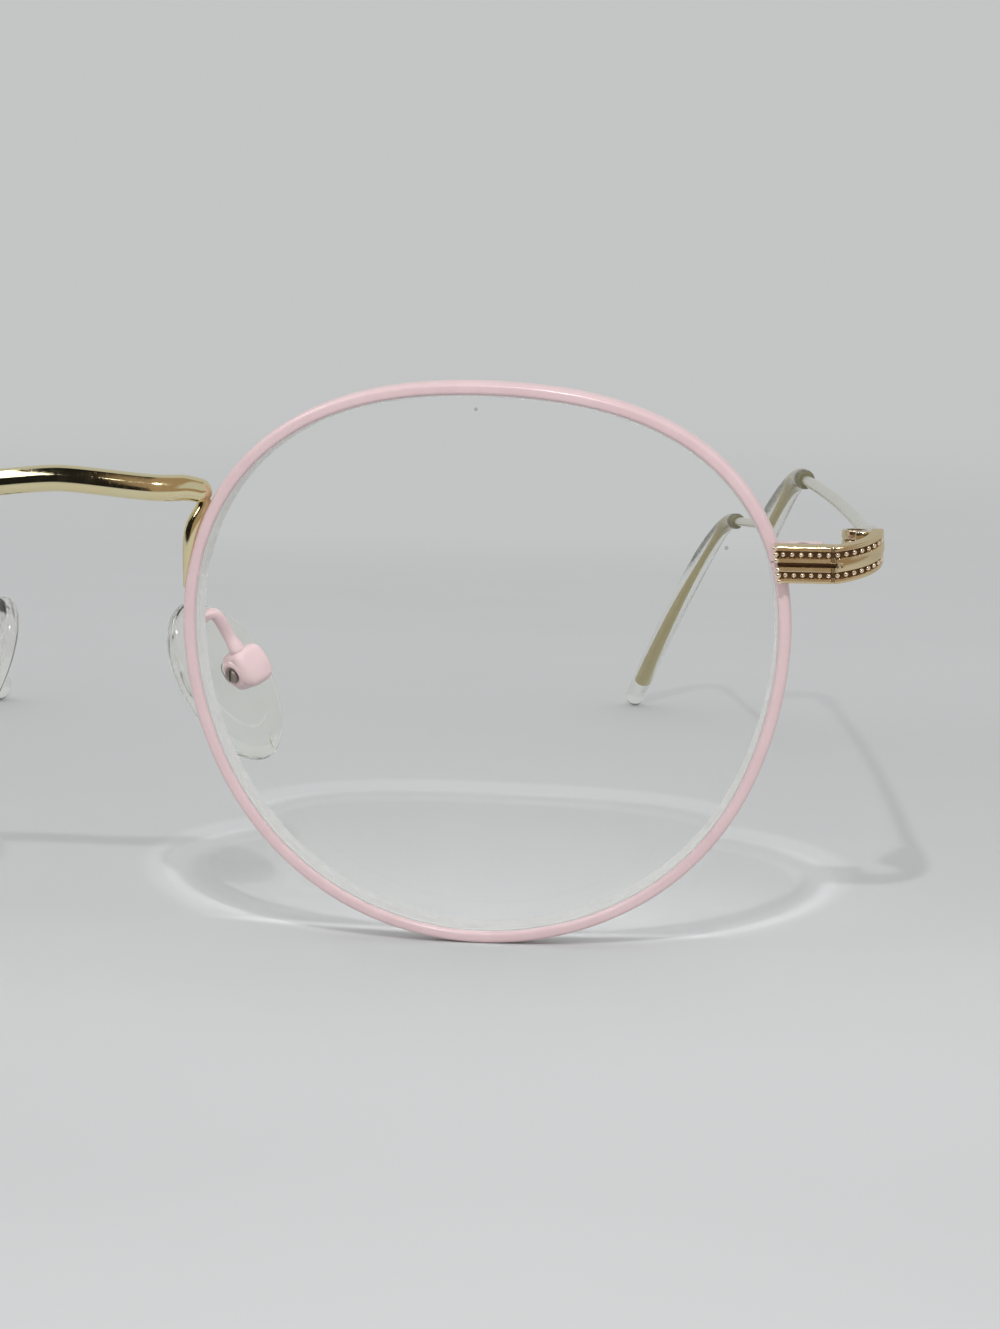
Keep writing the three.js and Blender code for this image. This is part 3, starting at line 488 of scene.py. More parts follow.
class Effects:
    """Shader node groups that several finishes share."""

    @cached_property
    def tone(self) -> bpy.types.NodeTree:
        """Lets a colour drift slowly towards another over the surface."""
        wiring = new_group("tone_drift",
                           {"Vector": "Vector", "Scale": "Float", "Colour": "Color", "Drift Colour": "Color",
                            "Amount": "Float"},
                           {"Colour": "Color"})
        given = wiring.add("NodeGroupInput").outputs
        cloud = wiring.add("ShaderNodeTexNoise", {"Vector": given["Vector"], "Scale": given["Scale"],
                                                  "Detail": 4.0, "Roughness": 0.6})
        patch = wiring.remap(cloud.outputs["Fac"], 0.35, 0.7, 0.0, 1.0)
        share = wiring.math("MULTIPLY", patch, given["Amount"])
        colour = wiring.blend(share, given["Colour"], given["Drift Colour"])
        wiring.add("NodeGroupOutput", {"Colour": colour})
        return wiring.tree

    @cached_property
    def handling(self) -> bpy.types.NodeTree:
        """Hairline scratches as a height, and smears left by wiping as a mask."""
        wiring = new_group("handling_marks", {"Vector": "Vector", "Scale": "Float"},
                           {"Height": "Float", "Smear": "Float"})
        given = wiring.add("NodeGroupInput").outputs
        hairlines = []
        for stretch in ((1.0, 0.06, 0.5), (0.07, 0.6, 1.0)):
            drawn = wiring.add("ShaderNodeVectorMath", {0: given["Vector"], 1: stretch},
                               operation="MULTIPLY")
            line = wiring.add("ShaderNodeTexNoise", {"Vector": drawn.outputs[0], "Scale": given["Scale"],
                                                     "Detail": 3.0, "Roughness": 0.7})
            hairlines.append(wiring.remap(line.outputs["Fac"], 0.6, 0.68, 0.0, 1.0))
        depth = wiring.math("MAXIMUM", *hairlines)
        slow = wiring.math("MULTIPLY", given["Scale"], 0.12)
        wipe = wiring.add("ShaderNodeTexNoise", {"Vector": given["Vector"], "Scale": slow,
                                                 "Detail": 5.0, "Roughness": 0.65, "Distortion": 0.6})
        smear = wiring.remap(wipe.outputs["Fac"], 0.4, 0.72, 0.0, 1.0)
        wiring.add("NodeGroupOutput", {"Height": wiring.math("SUBTRACT", 1.0, depth), "Smear": smear})
        return wiring.tree

    @cached_property
    def dust(self) -> bpy.types.NodeTree:
        """A thin scatter of small specks as a mask."""
        wiring = new_group("dust_specks",
                           {"Vector": "Vector", "Spacing": "Float", "Size": "Float", "Share": "Float"},
                           {"Mask": "Float"})
        given = wiring.add("NodeGroupInput").outputs
        density = wiring.math("DIVIDE", 1.0, given["Spacing"])
        cells = wiring.add("ShaderNodeTexVoronoi", {"Vector": given["Vector"], "Scale": density})
        spot = wiring.math("LESS_THAN", cells.outputs["Distance"], given["Size"])
        chosen = wiring.add("ShaderNodeSeparateColor", {0: cells.outputs["Color"]})
        kept = wiring.math("LESS_THAN", chosen.outputs[0], given["Share"])
        wiring.add("NodeGroupOutput", {"Mask": wiring.math("MULTIPLY", spot, kept)})
        return wiring.tree


EFFECTS = Effects()


@dataclass(frozen=True)
class Finish:
    """A surface finish: the record's slot and how its material is made."""

    slot: str
    colour: Colour
    mark: Optional[Mark] = None
    name: str = ""

    @cached_property
    def material(self) -> bpy.types.Material:
        """The material, made once."""
        made = bpy.data.materials.new(self.name or self.slot)
        made.use_nodes = True
        wiring = Wiring(made.node_tree)
        place = wiring.add("ShaderNodeTexCoord").outputs["Object"]
        shader = self.shader(wiring, place)
        wiring.add("ShaderNodeOutputMaterial", {"Surface": shader})
        return made

    def shader(self, wiring: Wiring, place: Socket) -> Socket:
        """Wires the finish and gives its shader output."""
        raise NotImplementedError


@dataclass(frozen=True)
class Lacquer(Finish):
    """Coloured lacquer over wire: a smooth, slightly wavy coat with a soft gloss."""

    drift: Colour = (0.6, 0.4, 0.43)
    dust: Colour = (0.78, 0.72, 0.72)
    smooth: float = 0.3
    wiped: float = 0.42

    def shader(self, wiring: Wiring, place: Socket) -> Socket:
        """Wires the lacquer.

        Args:
            wiring: The material's tree.
            place: Object coordinates.

        Returns:
            The shader output.
        """
        tone = wiring.group(EFFECTS.tone, vector=place, scale=260.0, colour=opaque(self.colour),
                            drift_colour=opaque(self.drift), amount=0.25)
        wear = wiring.group(EFFECTS.handling, vector=place, scale=5200.0)
        specks = wiring.group(EFFECTS.dust, vector=place, spacing=0.0011, size=0.06, share=0.16)
        dusty = wiring.blend(specks.outputs["Mask"], tone.outputs["Colour"], opaque(self.dust))
        peel = wiring.add("ShaderNodeTexNoise", {"Vector": place, "Scale": 1500.0, "Detail": 1.0})
        height = wiring.math("MULTIPLY_ADD", wear.outputs["Height"], 0.15, peel.outputs["Fac"])
        bump = wiring.add("ShaderNodeBump", {"Strength": 0.06, "Distance": 0.0001, "Height": height})
        rough = wiring.remap(wear.outputs["Smear"], 0.0, 1.0, self.smooth, self.wiped)
        return wiring.add("ShaderNodeBsdfPrincipled", {
            "Base Color": dusty, "Roughness": rough, "Normal": bump.outputs[0],
            "Coat Weight": 0.3, "Coat Roughness": 0.12}).outputs[0]


@dataclass(frozen=True)
class PolishedMetal(Finish):
    """Polished plate or turned screw metal, with painted shade, darker and rougher, where its corners are
    marked.
    """

    painted_shade: Colour = (0.1, 0.045, 0.02)
    warming: Colour = (1.0, 0.93, 0.82)
    smooth: float = 0.07
    wiped: float = 0.15
    painted_shade_rough: float = 0.3

    def shader(self, wiring: Wiring, place: Socket) -> Socket:
        """Wires the metal.

        Args:
            wiring: The material's tree.
            place: Object coordinates.

        Returns:
            The shader output.
        """
        warm = scaled(self.colour, *self.warming)
        tone = wiring.group(EFFECTS.tone, vector=place, scale=420.0, colour=opaque(self.colour),
                            drift_colour=opaque(warm), amount=0.4)
        wear = wiring.group(EFFECTS.handling, vector=place, scale=6500.0)
        painted_shade = wiring.add("ShaderNodeAttribute", attribute_name=Mark.PAINTED_SHADE.value).outputs["Fac"]
        # Painted shade: marked corners take the dark painted_shade colour, and more roughness below.
        colour = wiring.blend(painted_shade, tone.outputs["Colour"], opaque(self.painted_shade))
        polish = wiring.remap(wear.outputs["Smear"], 0.0, 1.0, self.smooth, self.wiped)
        rough = wiring.math("MULTIPLY_ADD", painted_shade, self.painted_shade_rough, polish)
        bump = wiring.add("ShaderNodeBump", {"Strength": 0.05, "Distance": 0.00004,
                                             "Height": wear.outputs["Height"]})
        return wiring.add("ShaderNodeBsdfPrincipled", {
            "Base Color": colour, "Metallic": 1.0, "Roughness": rough,
            "Normal": bump.outputs[0]}).outputs[0]


@dataclass(frozen=True)
class Frosting(Finish):
    """A ground or sawn plastic edge: matt, with fine grinding lines, and an optional painted glow in its own
    colour.
    """

    rough: float = 0.6
    wiped: float = 0.15
    shade: float = 0.8
    glow: float = 0.0

    def shader(self, wiring: Wiring, place: Socket) -> Socket:
        """Wires the frosting.

        Args:
            wiring: The material's tree.
            place: Object coordinates.

        Returns:
            The shader output.
        """
        tone = wiring.group(EFFECTS.tone, vector=place, scale=900.0, colour=opaque(self.colour),
                            drift_colour=opaque(scaled(self.colour, self.shade)), amount=0.5)
        wear = wiring.group(EFFECTS.handling, vector=place, scale=4200.0)
        bump = wiring.add("ShaderNodeBump", {"Strength": 0.15, "Distance": 0.00004,
                                             "Height": wear.outputs["Height"]})
        rough = wiring.remap(wear.outputs["Smear"], 0.0, 1.0, self.rough, self.rough + self.wiped)
        # The emission is painted light: the edge glows in its own colour, though it is no lamp.
        return wiring.add("ShaderNodeBsdfPrincipled", {
            "Base Color": tone.outputs["Colour"], "Roughness": rough, "Normal": bump.outputs[0],
            "Emission Color": opaque(self.colour), "Emission Strength": self.glow}).outputs[0]


@dataclass(frozen=True)
class ClearPlastic(Finish):
    """Clear plastic or resin that refracts, with smears and a few specks."""

    index: float = 1.5
    mirror: float = 1.0
    shine: float = 0.5
    gloss: float = 0.0
    clear: float = 1.0
    smeared: float = 0.02
    speck: Colour = (0.45, 0.45, 0.45)
    speck_spacing: float = 0.004
    speck_share: float = 0.1
    lamp_tint: Colour = (0.9, 0.9, 0.9)

    def shader(self, wiring: Wiring, place: Socket) -> Socket:
        """Wires the plastic, which lets lamps shine through it.

        Args:
            wiring: The material's tree.
            place: Object coordinates.

        Returns:
            The shader output.
        """
        specks = wiring.group(EFFECTS.dust, vector=place, spacing=self.speck_spacing, size=0.035,
                              share=self.speck_share)
        colour = wiring.blend(specks.outputs["Mask"], opaque(self.colour), opaque(self.speck))
        wear = wiring.group(EFFECTS.handling, vector=place, scale=2600.0)
        rough = wiring.math("MULTIPLY_ADD", wear.outputs["Smear"], self.smeared, self.gloss)
        glass = wiring.add("ShaderNodeBsdfPrincipled", {
            "Base Color": colour, "Roughness": rough, "Metallic": 0.0,
            "IOR": self.index, "Transmission Weight": self.clear, "Specular IOR Level": self.shine,
            "Specular Tint": opaque((self.mirror,) * 3)})
        lamp_glass = wiring.add("ShaderNodeBsdfTransparent", {"Color": opaque(self.lamp_tint)})
        lamp_ray = wiring.add("ShaderNodeLightPath").outputs["Is Shadow Ray"]
        return wiring.add("ShaderNodeMixShader", {0: lamp_ray, 1: glass.outputs[0],
                                                  2: lamp_glass.outputs[0]}).outputs[0]


PINK_LACQUER = Lacquer("pink_lacquer", (0.734, 0.549, 0.562))
PALE_GOLD = PolishedMetal("pale_gold", (0.83, 0.74, 0.47), Mark.PAINTED_SHADE)
# A darker, browner copy of pale gold for the endpieces and hinge leaves: painted shade for the dark room that
# they mirror.
SHADE_PAINTED_GOLD = PolishedMetal("pale_gold", (0.73, 0.6, 0.385), Mark.PAINTED_SHADE, "shade_painted_gold",
                            painted_shade=(0.15, 0.085, 0.045), smooth=0.18, wiped=0.28)
# A paler copy of pale gold for the beads: painted highlight.
BEAD_GOLD_PAINTED_HIGHLIGHT = PolishedMetal("pale_gold", (0.97, 0.83, 0.66), Mark.PAINTED_SHADE, "bead_gold_painted_highlight", smooth=0.24, wiped=0.34)
# A greyer copy of pale gold for the temple arms: painted sheen. Its painted_shade colour is painted shade on
# the wire inside the sleeve.
WIRE_GOLD_PAINTED_SHEEN = PolishedMetal("pale_gold", (0.73, 0.7, 0.58), Mark.PAINTED_SHADE, "wire_gold_painted_sheen", painted_shade=(0.6, 0.52, 0.27),
                          smooth=0.12, wiped=0.22)
# Darker than bare steel: painted shade for the screws sunk in their collars and blocks.
SCREW_STEEL_PAINTED_SHADE = PolishedMetal("steel", (0.3, 0.26, 0.24), smooth=0.28, wiped=0.42)
LENS_RESIN = ClearPlastic("lens_clear", (0.99, 0.995, 0.99), Mark.GROUND_EDGE_AND_MOUTH_SHADE, index=1.56, mirror=0.1,
                          speck_spacing=0.005, speck_share=0.12, smeared=0.0, lamp_tint=(0.95, 0.95, 0.95))
# The lens's ground edge, lit evenly by a painted glow.
LENS_EDGE_PAINTED_GLOW = Frosting("lens_clear", (0.32, 0.32, 0.315), Mark.GROUND_EDGE_AND_MOUTH_SHADE, "lens_edge", glow=1.0)
PAD_PLASTIC = ClearPlastic("pad_clear", (0.989, 0.986, 0.95), index=1.38, shine=0.15, gloss=0.06, clear=0.985,
                           speck_spacing=0.0022, speck_share=0.16, lamp_tint=(0.45, 0.45, 0.43))
TIP_PLASTIC = ClearPlastic("tip_clear", (0.985, 0.982, 0.96), Mark.GROUND_EDGE_AND_MOUTH_SHADE, index=1.45, shine=0.15,
                           gloss=0.1, clear=0.95, lamp_tint=(0.32, 0.32, 0.31))
# Painted shade: an opaque dark olive on the sleeve's mouth stands for the shade seen into it.
TIP_MOUTH_PAINTED_SHADE = Frosting("tip_clear", (0.2, 0.19, 0.11), Mark.GROUND_EDGE_AND_MOUTH_SHADE, "tip_mouth_painted_shade", rough=0.5)


@dataclass(frozen=True)
class Bench:
    """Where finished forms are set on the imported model, and how far they move to get there."""

    settle: Vector

    def seat(self, form: Form, kind: str, side: Optional[Side], body: str, finish: Finish,
             crease: float = 35.0) -> bpy.types.Object:
        """Makes a piece of a form, dresses it and lets it stand for its node.

        Args:
            form: The shape on the left side, or across the middle.
            kind: The piece's plain name, which its node has too.
            side: The wearer's side, or nothing for a piece across the middle.
            body: The body that it rides on.
            finish: Its finish.
            crease: Edges that turn further than this stay sharp, in degrees.

        Returns:
            The piece.
        """
        node = f"{kind}_{side.label}" if side else kind
        name = f"{side.label}_{kind}" if side else f"{kind}_wire"
        piece = form.to_object(name, self.settle, side or Side.LEFT, finish.mark)
        self.dress(piece, body, finish, crease)
        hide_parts(node)
        return piece

    def dress(self, piece: bpy.types.Object, body: str, finish: Finish, crease: float) -> None:
        """Shades a piece, gives it its finish and lets it ride on its body."""
        piece.data.shade_smooth()
        piece.data.set_sharp_from_angle(angle=math.radians(crease))
        piece.data.materials.clear()
        piece.data.materials.append(finish.material)
        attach(piece, body)
        LOG.info("%s: %d faces on %s, %s", piece.name, len(piece.data.polygons), body, finish.slot)

    @staticmethod
    def trim(piece: bpy.types.Object, finish: Finish) -> None:
        """Gives a second finish to the faces whose corners are all marked."""
        piece.data.materials.append(finish.material)
        marked = piece.data.attributes[finish.mark.value].data
        for face in piece.data.polygons:
            if all(marked[corner].value > 0.5 for corner in face.vertices):
                face.material_index = 1


@dataclass(frozen=True)
class Wave:
    """One wave of the lens outline: how often it turns, and its sine and cosine shares."""

    turns: int
    sine: float
    cosine: float


@dataclass(frozen=True)
class Outline:
    """The lens outline about its own middle: x to the temple, y up."""

    width: float = 50.0
    height: float = 47.6
    waves: tuple[Wave, ...] = (Wave(1, 0.031, 0), Wave(2, 0.003, -0.0095), Wave(3, 0.0295, 0.0015),
                               Wave(4, 0.002, -0.016), Wave(5, -0.0025, -0.002))

    def raw(self, angle: float) -> Vector:
        """The waved circle before it is fitted to its size."""
        radius = 1 + sum(w.sine * math.sin(w.turns * angle) + w.cosine * math.cos(w.turns * angle)
                         for w in self.waves)
        return Vector((radius * math.cos(angle), radius * math.sin(angle)))

    @cached_property
    def fit(self) -> tuple[Vector, Vector]:
        """The raw outline's middle, and the scale that gives it its width and height."""
        points = [self.raw(math.radians(half / 2)) for half in range(720)]
        low = Vector((min(p.x for p in points), min(p.y for p in points)))
        high = Vector((max(p.x for p in points), max(p.y for p in points)))
        span = high - low
        return (low + high) / 2, Vector((self.width / span.x, self.height / span.y))

    def edge(self, angle: float) -> Vector:
        """The lens edge at an angle."""
        middle, scale = self.fit
        return (self.raw(angle) - middle) * scale

    def normal(self, angle: float) -> Vector:
        """The outward direction of the edge at an angle."""
        step = 1e-3
        along = (self.edge(angle + step) - self.edge(angle - step)).normalized()
        return Vector((along.y, -along.x))

    def offset(self, angle: float, distance: float) -> Vector:
        """A point outside the edge by a distance."""
        return self.edge(angle) + self.normal(angle) * distance

    def angle_at(self, height: float, nose_side: bool) -> float:
        """The angle at which the edge reaches a height, on the nose or the temple side."""
        below, above = -math.pi / 2, math.pi / 2
        for _ in range(40):
            middle = (below + above) / 2
            if self.edge(math.pi - middle if nose_side else middle).y < height:
                below = middle
            else:
                above = middle
        return math.pi - below if nose_side else below


@dataclass(frozen=True)
class Front:
    """What the pieces of the front share. Its frame is x across, y back, and z up along the front."""

    outline: Outline = field(default_factory=Outline)
    lens_spacing: float = 21.0
    tilt: float = math.radians(8)
    rim_stroke: float = 1.1
    rim_depth: float = 2.0
    groove_lip: float = 0.5
    endpiece_height: float = 9.93
    bevel_depth: float = 0.6
    solder_sink: float = 0.06

    @property
    def lens_x(self) -> float:
        """Distance of the lens middle from the nose line."""
        return (self.outline.width + self.lens_spacing) / 2

    @property
    def rim_outside(self) -> float:
        """How far the rim stands outside the lens edge."""
        return self.rim_stroke - self.groove_lip

    @cached_property
    def closing_angle(self) -> float:
        """The angle of the rim's split."""
        return self.outline.angle_at(self.endpiece_height, False)

    def at(self, edge: Vector, back: float) -> Vector:
        """A point of the left half from a place about the lens middle."""
        return Vector((self.lens_x + edge.x, back, edge.y))

    def level(self, point: Vector) -> Vector:
        """A point of the tilted front as it stands on the table."""
        return Matrix.Rotation(self.tilt, 3, "X") @ point


@dataclass(frozen=True)
class Eyewire:
    """One rim wire and the lens that sits in its groove."""

    front: Front
    groove_half_width: float = 0.58
    lens_gap: float = 0.05
    split: float = 0.12
    squareness: float = 3.4
    lens_sides: int = 240
    lens_rings: int = 22
    polish: float = 0.02
    front_radius: float = 187.0
    back_radius: float = 80.0
    centre_thickness: float = 1.4
    bevel_half_width: float = 0.42
    safety_bevel: float = 0.45
    steps: int = 320
    section_sides: int = 44

    def build_rim(self) -> Form:
        """The split rim wire with a groove for the lens."""
        front = self.front
        middle = (front.rim_outside - front.groove_lip) / 2
        section = []
        for x, y in rounded_section(self.section_sides, self.squareness):
            out = middle + x * front.rim_stroke / 2
            back = y * front.rim_depth / 2
            inside = 1 - abs(back) / self.groove_half_width
            if x < 0 and inside > 0:
                out = mix(out, self.lens_gap, inside)
            section.append((out, back))
        half_split = self.split / 2 / front.outline.edge(front.closing_angle).length
        start = front.closing_angle + half_split
        rings = [[front.at(front.outline.offset(angle, out), back) for out, back in section]
                 for angle in evenly(start, start + math.tau - 2 * half_split, self.steps)]
        return Form.loft(rings).moved(front.level)

    @cached_property
    def lens_front(self) -> float:
        """How far back the middle of the lens's front face lies."""
        reach = max(self.front.outline.edge(math.radians(turn)).length for turn in range(360))
        return -self.bevel_half_width - self.sag(self.front_radius, reach)

    @staticmethod
    def sag(radius: float, distance: float) -> float:
        """How far a sphere falls back at a distance from its pole."""
        return radius - math.sqrt(radius ** 2 - distance ** 2)

    def back_at(self, point: Vector) -> float:
        """How far back the lens's back face lies at a point."""
        return self.lens_front + self.centre_thickness + self.sag(self.back_radius, point.length)

    def build_lens(self) -> Form:
        """The bevelled lens, thin in the middle, with its ground edge marked for the frosting with a painted
        glow.
        """
        front, outline = self.front, self.front.outline
        angles = [math.tau * i / self.lens_sides for i in range(self.lens_sides)]
        shares = evenly(0, 1, self.lens_rings)

        def face(share: float, depth_at: Callable[[Vector], float], inset: float = 0.0) -> Ring:
            """A ring of one polished face at a share of its radius."""
            points = [outline.offset(angle, -front.bevel_depth - inset) * share for angle in angles]
            return [front.at(point, depth_at(point)) for point in points]

        def edge(inset: float, depth: float) -> Ring:
            """A ring of the ground edge."""
            return [front.at(outline.offset(angle, -inset), depth) for angle in angles]

        def front_at(point: Vector) -> float:
            """How far back the front face lies at a point."""
            return self.lens_front + self.sag(self.front_radius, point.length)

        faces = [face(share, front_at) for share in shares]
        foot = front.bevel_depth - self.polish / 2
        ground = [edge(foot, -self.bevel_half_width), edge(0, 0), edge(foot, self.bevel_half_width),
                  [corner - Y * self.safety_bevel for corner in face(1, self.back_at)],
                  [corner - Y * self.polish for corner in face(1, self.back_at, self.safety_bevel)]]
        backs = [face(share, self.back_at, self.safety_bevel) for share in reversed(shares)]
        marks = [value for rings, value in ((faces, 0.0), (ground, 1.0), (backs, 0.0))
                 for _ in range(len(rings) * len(angles))]
        return Form.loft([*faces, *ground, *backs], marks=marks).moved(front.level)

    def dress(self, bench: Bench, side: Side) -> None:
        """Seats the rim and the lens of one side."""
        bench.seat(self.build_rim(), "rim", side, "front", PINK_LACQUER)
        lens = bench.seat(self.build_lens(), "lens", side, "front", LENS_RESIN, crease=20)
        # The ground edge gets the frosting with a painted glow.
        bench.trim(lens, LENS_EDGE_PAINTED_GLOW)


@dataclass(frozen=True)
class Bridge:
    """The bridge wire: up one nasal rim, across in a low arch, and down the other."""

    front: Front
    radius: float = 1.12
    height: float = 16.0
    bow: float = 1.7
    shoulder_x: float = 11.2
    shoulder_drop: float = 0.92
    drop_power: float = 1.6
    end_x: float = 12.6
    end_radius: float = 0.98
    end_bend: float = 1.0
    end_drop: float = 0.5
    bend_from: float = 0.7
    drop_from: float = 0.9
    taper_from: float = 0.75
    leg_x: float = 11.5
    leg_length: float = 9.6
    leg_top_radius: float = 0.45
    leg_end_radius: float = 0.1
    leg_belly: float = 0.32
    belly_power: float = 0.7
    leg_back: float = -0.5
    neck_share: float = 0.3
    neck_radius: float = 0.55
    neck_back: float = 0.2

    def beside_rim(self, drop: float, radius: float, back: float) -> Vector:
        """A point of a leg that touches the rim, by its drop below the arch."""
        outline = self.front.outline
        angle = outline.angle_at(self.height - drop, True)
        away = self.front.rim_outside - self.front.solder_sink + radius
        return self.front.at(outline.offset(angle, away), back)

    def arch(self, x: float) -> Vector:
        """A point of the bar's middle line."""
        share, end_share = abs(x) / self.shoulder_x, self.end_x / self.shoulder_x
        fall = math.sin(math.pi / 2 * min(1.0, share)) ** self.drop_power
        back = self.end_bend * ease(self.bend_from, end_share, share) - self.bow * (1 - share ** 2 / 2)
        turn_down = self.end_drop * ease(self.drop_from, end_share, share)
        return Vector((x, back, self.height - self.shoulder_drop * fall - turn_down))

    def bar_radius(self, share: float) -> float:
        """The bar's radius, which tapers towards both ends."""
        return mix(self.radius, self.end_radius, ease(self.taper_from, 1.0, abs(2 * share - 1)))

    def leg_radius(self, share: float) -> float:
        """A leg's radius: slim where it leaves the bar, fuller below, and thin at its end."""
        even = mix(self.leg_top_radius, self.leg_end_radius, share)
        return even + self.leg_belly * math.sin(math.pi * share ** self.belly_power)

    def build(self) -> Form:
        """The bar and its two legs, grown together."""
        bar = tube(Route([self.arch(x) for x in evenly(-self.end_x, self.end_x, 240)]),
                   self.bar_radius, 160, 48)
        neck = self.beside_rim(self.neck_share * self.leg_length, self.neck_radius, self.neck_back)
        middle = self.beside_rim(self.leg_length / 2, self.leg_radius(0.5), self.leg_back)
        foot = self.beside_rim(self.leg_length, self.leg_end_radius, self.leg_back)
        leg = tube(Route.spline([self.arch(self.leg_x), neck, middle, foot]), self.leg_radius, 70, 32)
        mirrored = leg.moved(Matrix.Scale(-1, 4, X))
        return bar.joined(leg, mirrored).moved(self.front.level)

    def dress(self, bench: Bench) -> None:
        """Seats the bridge."""
        bench.seat(self.build(), "bridge", None, "front", PALE_GOLD)


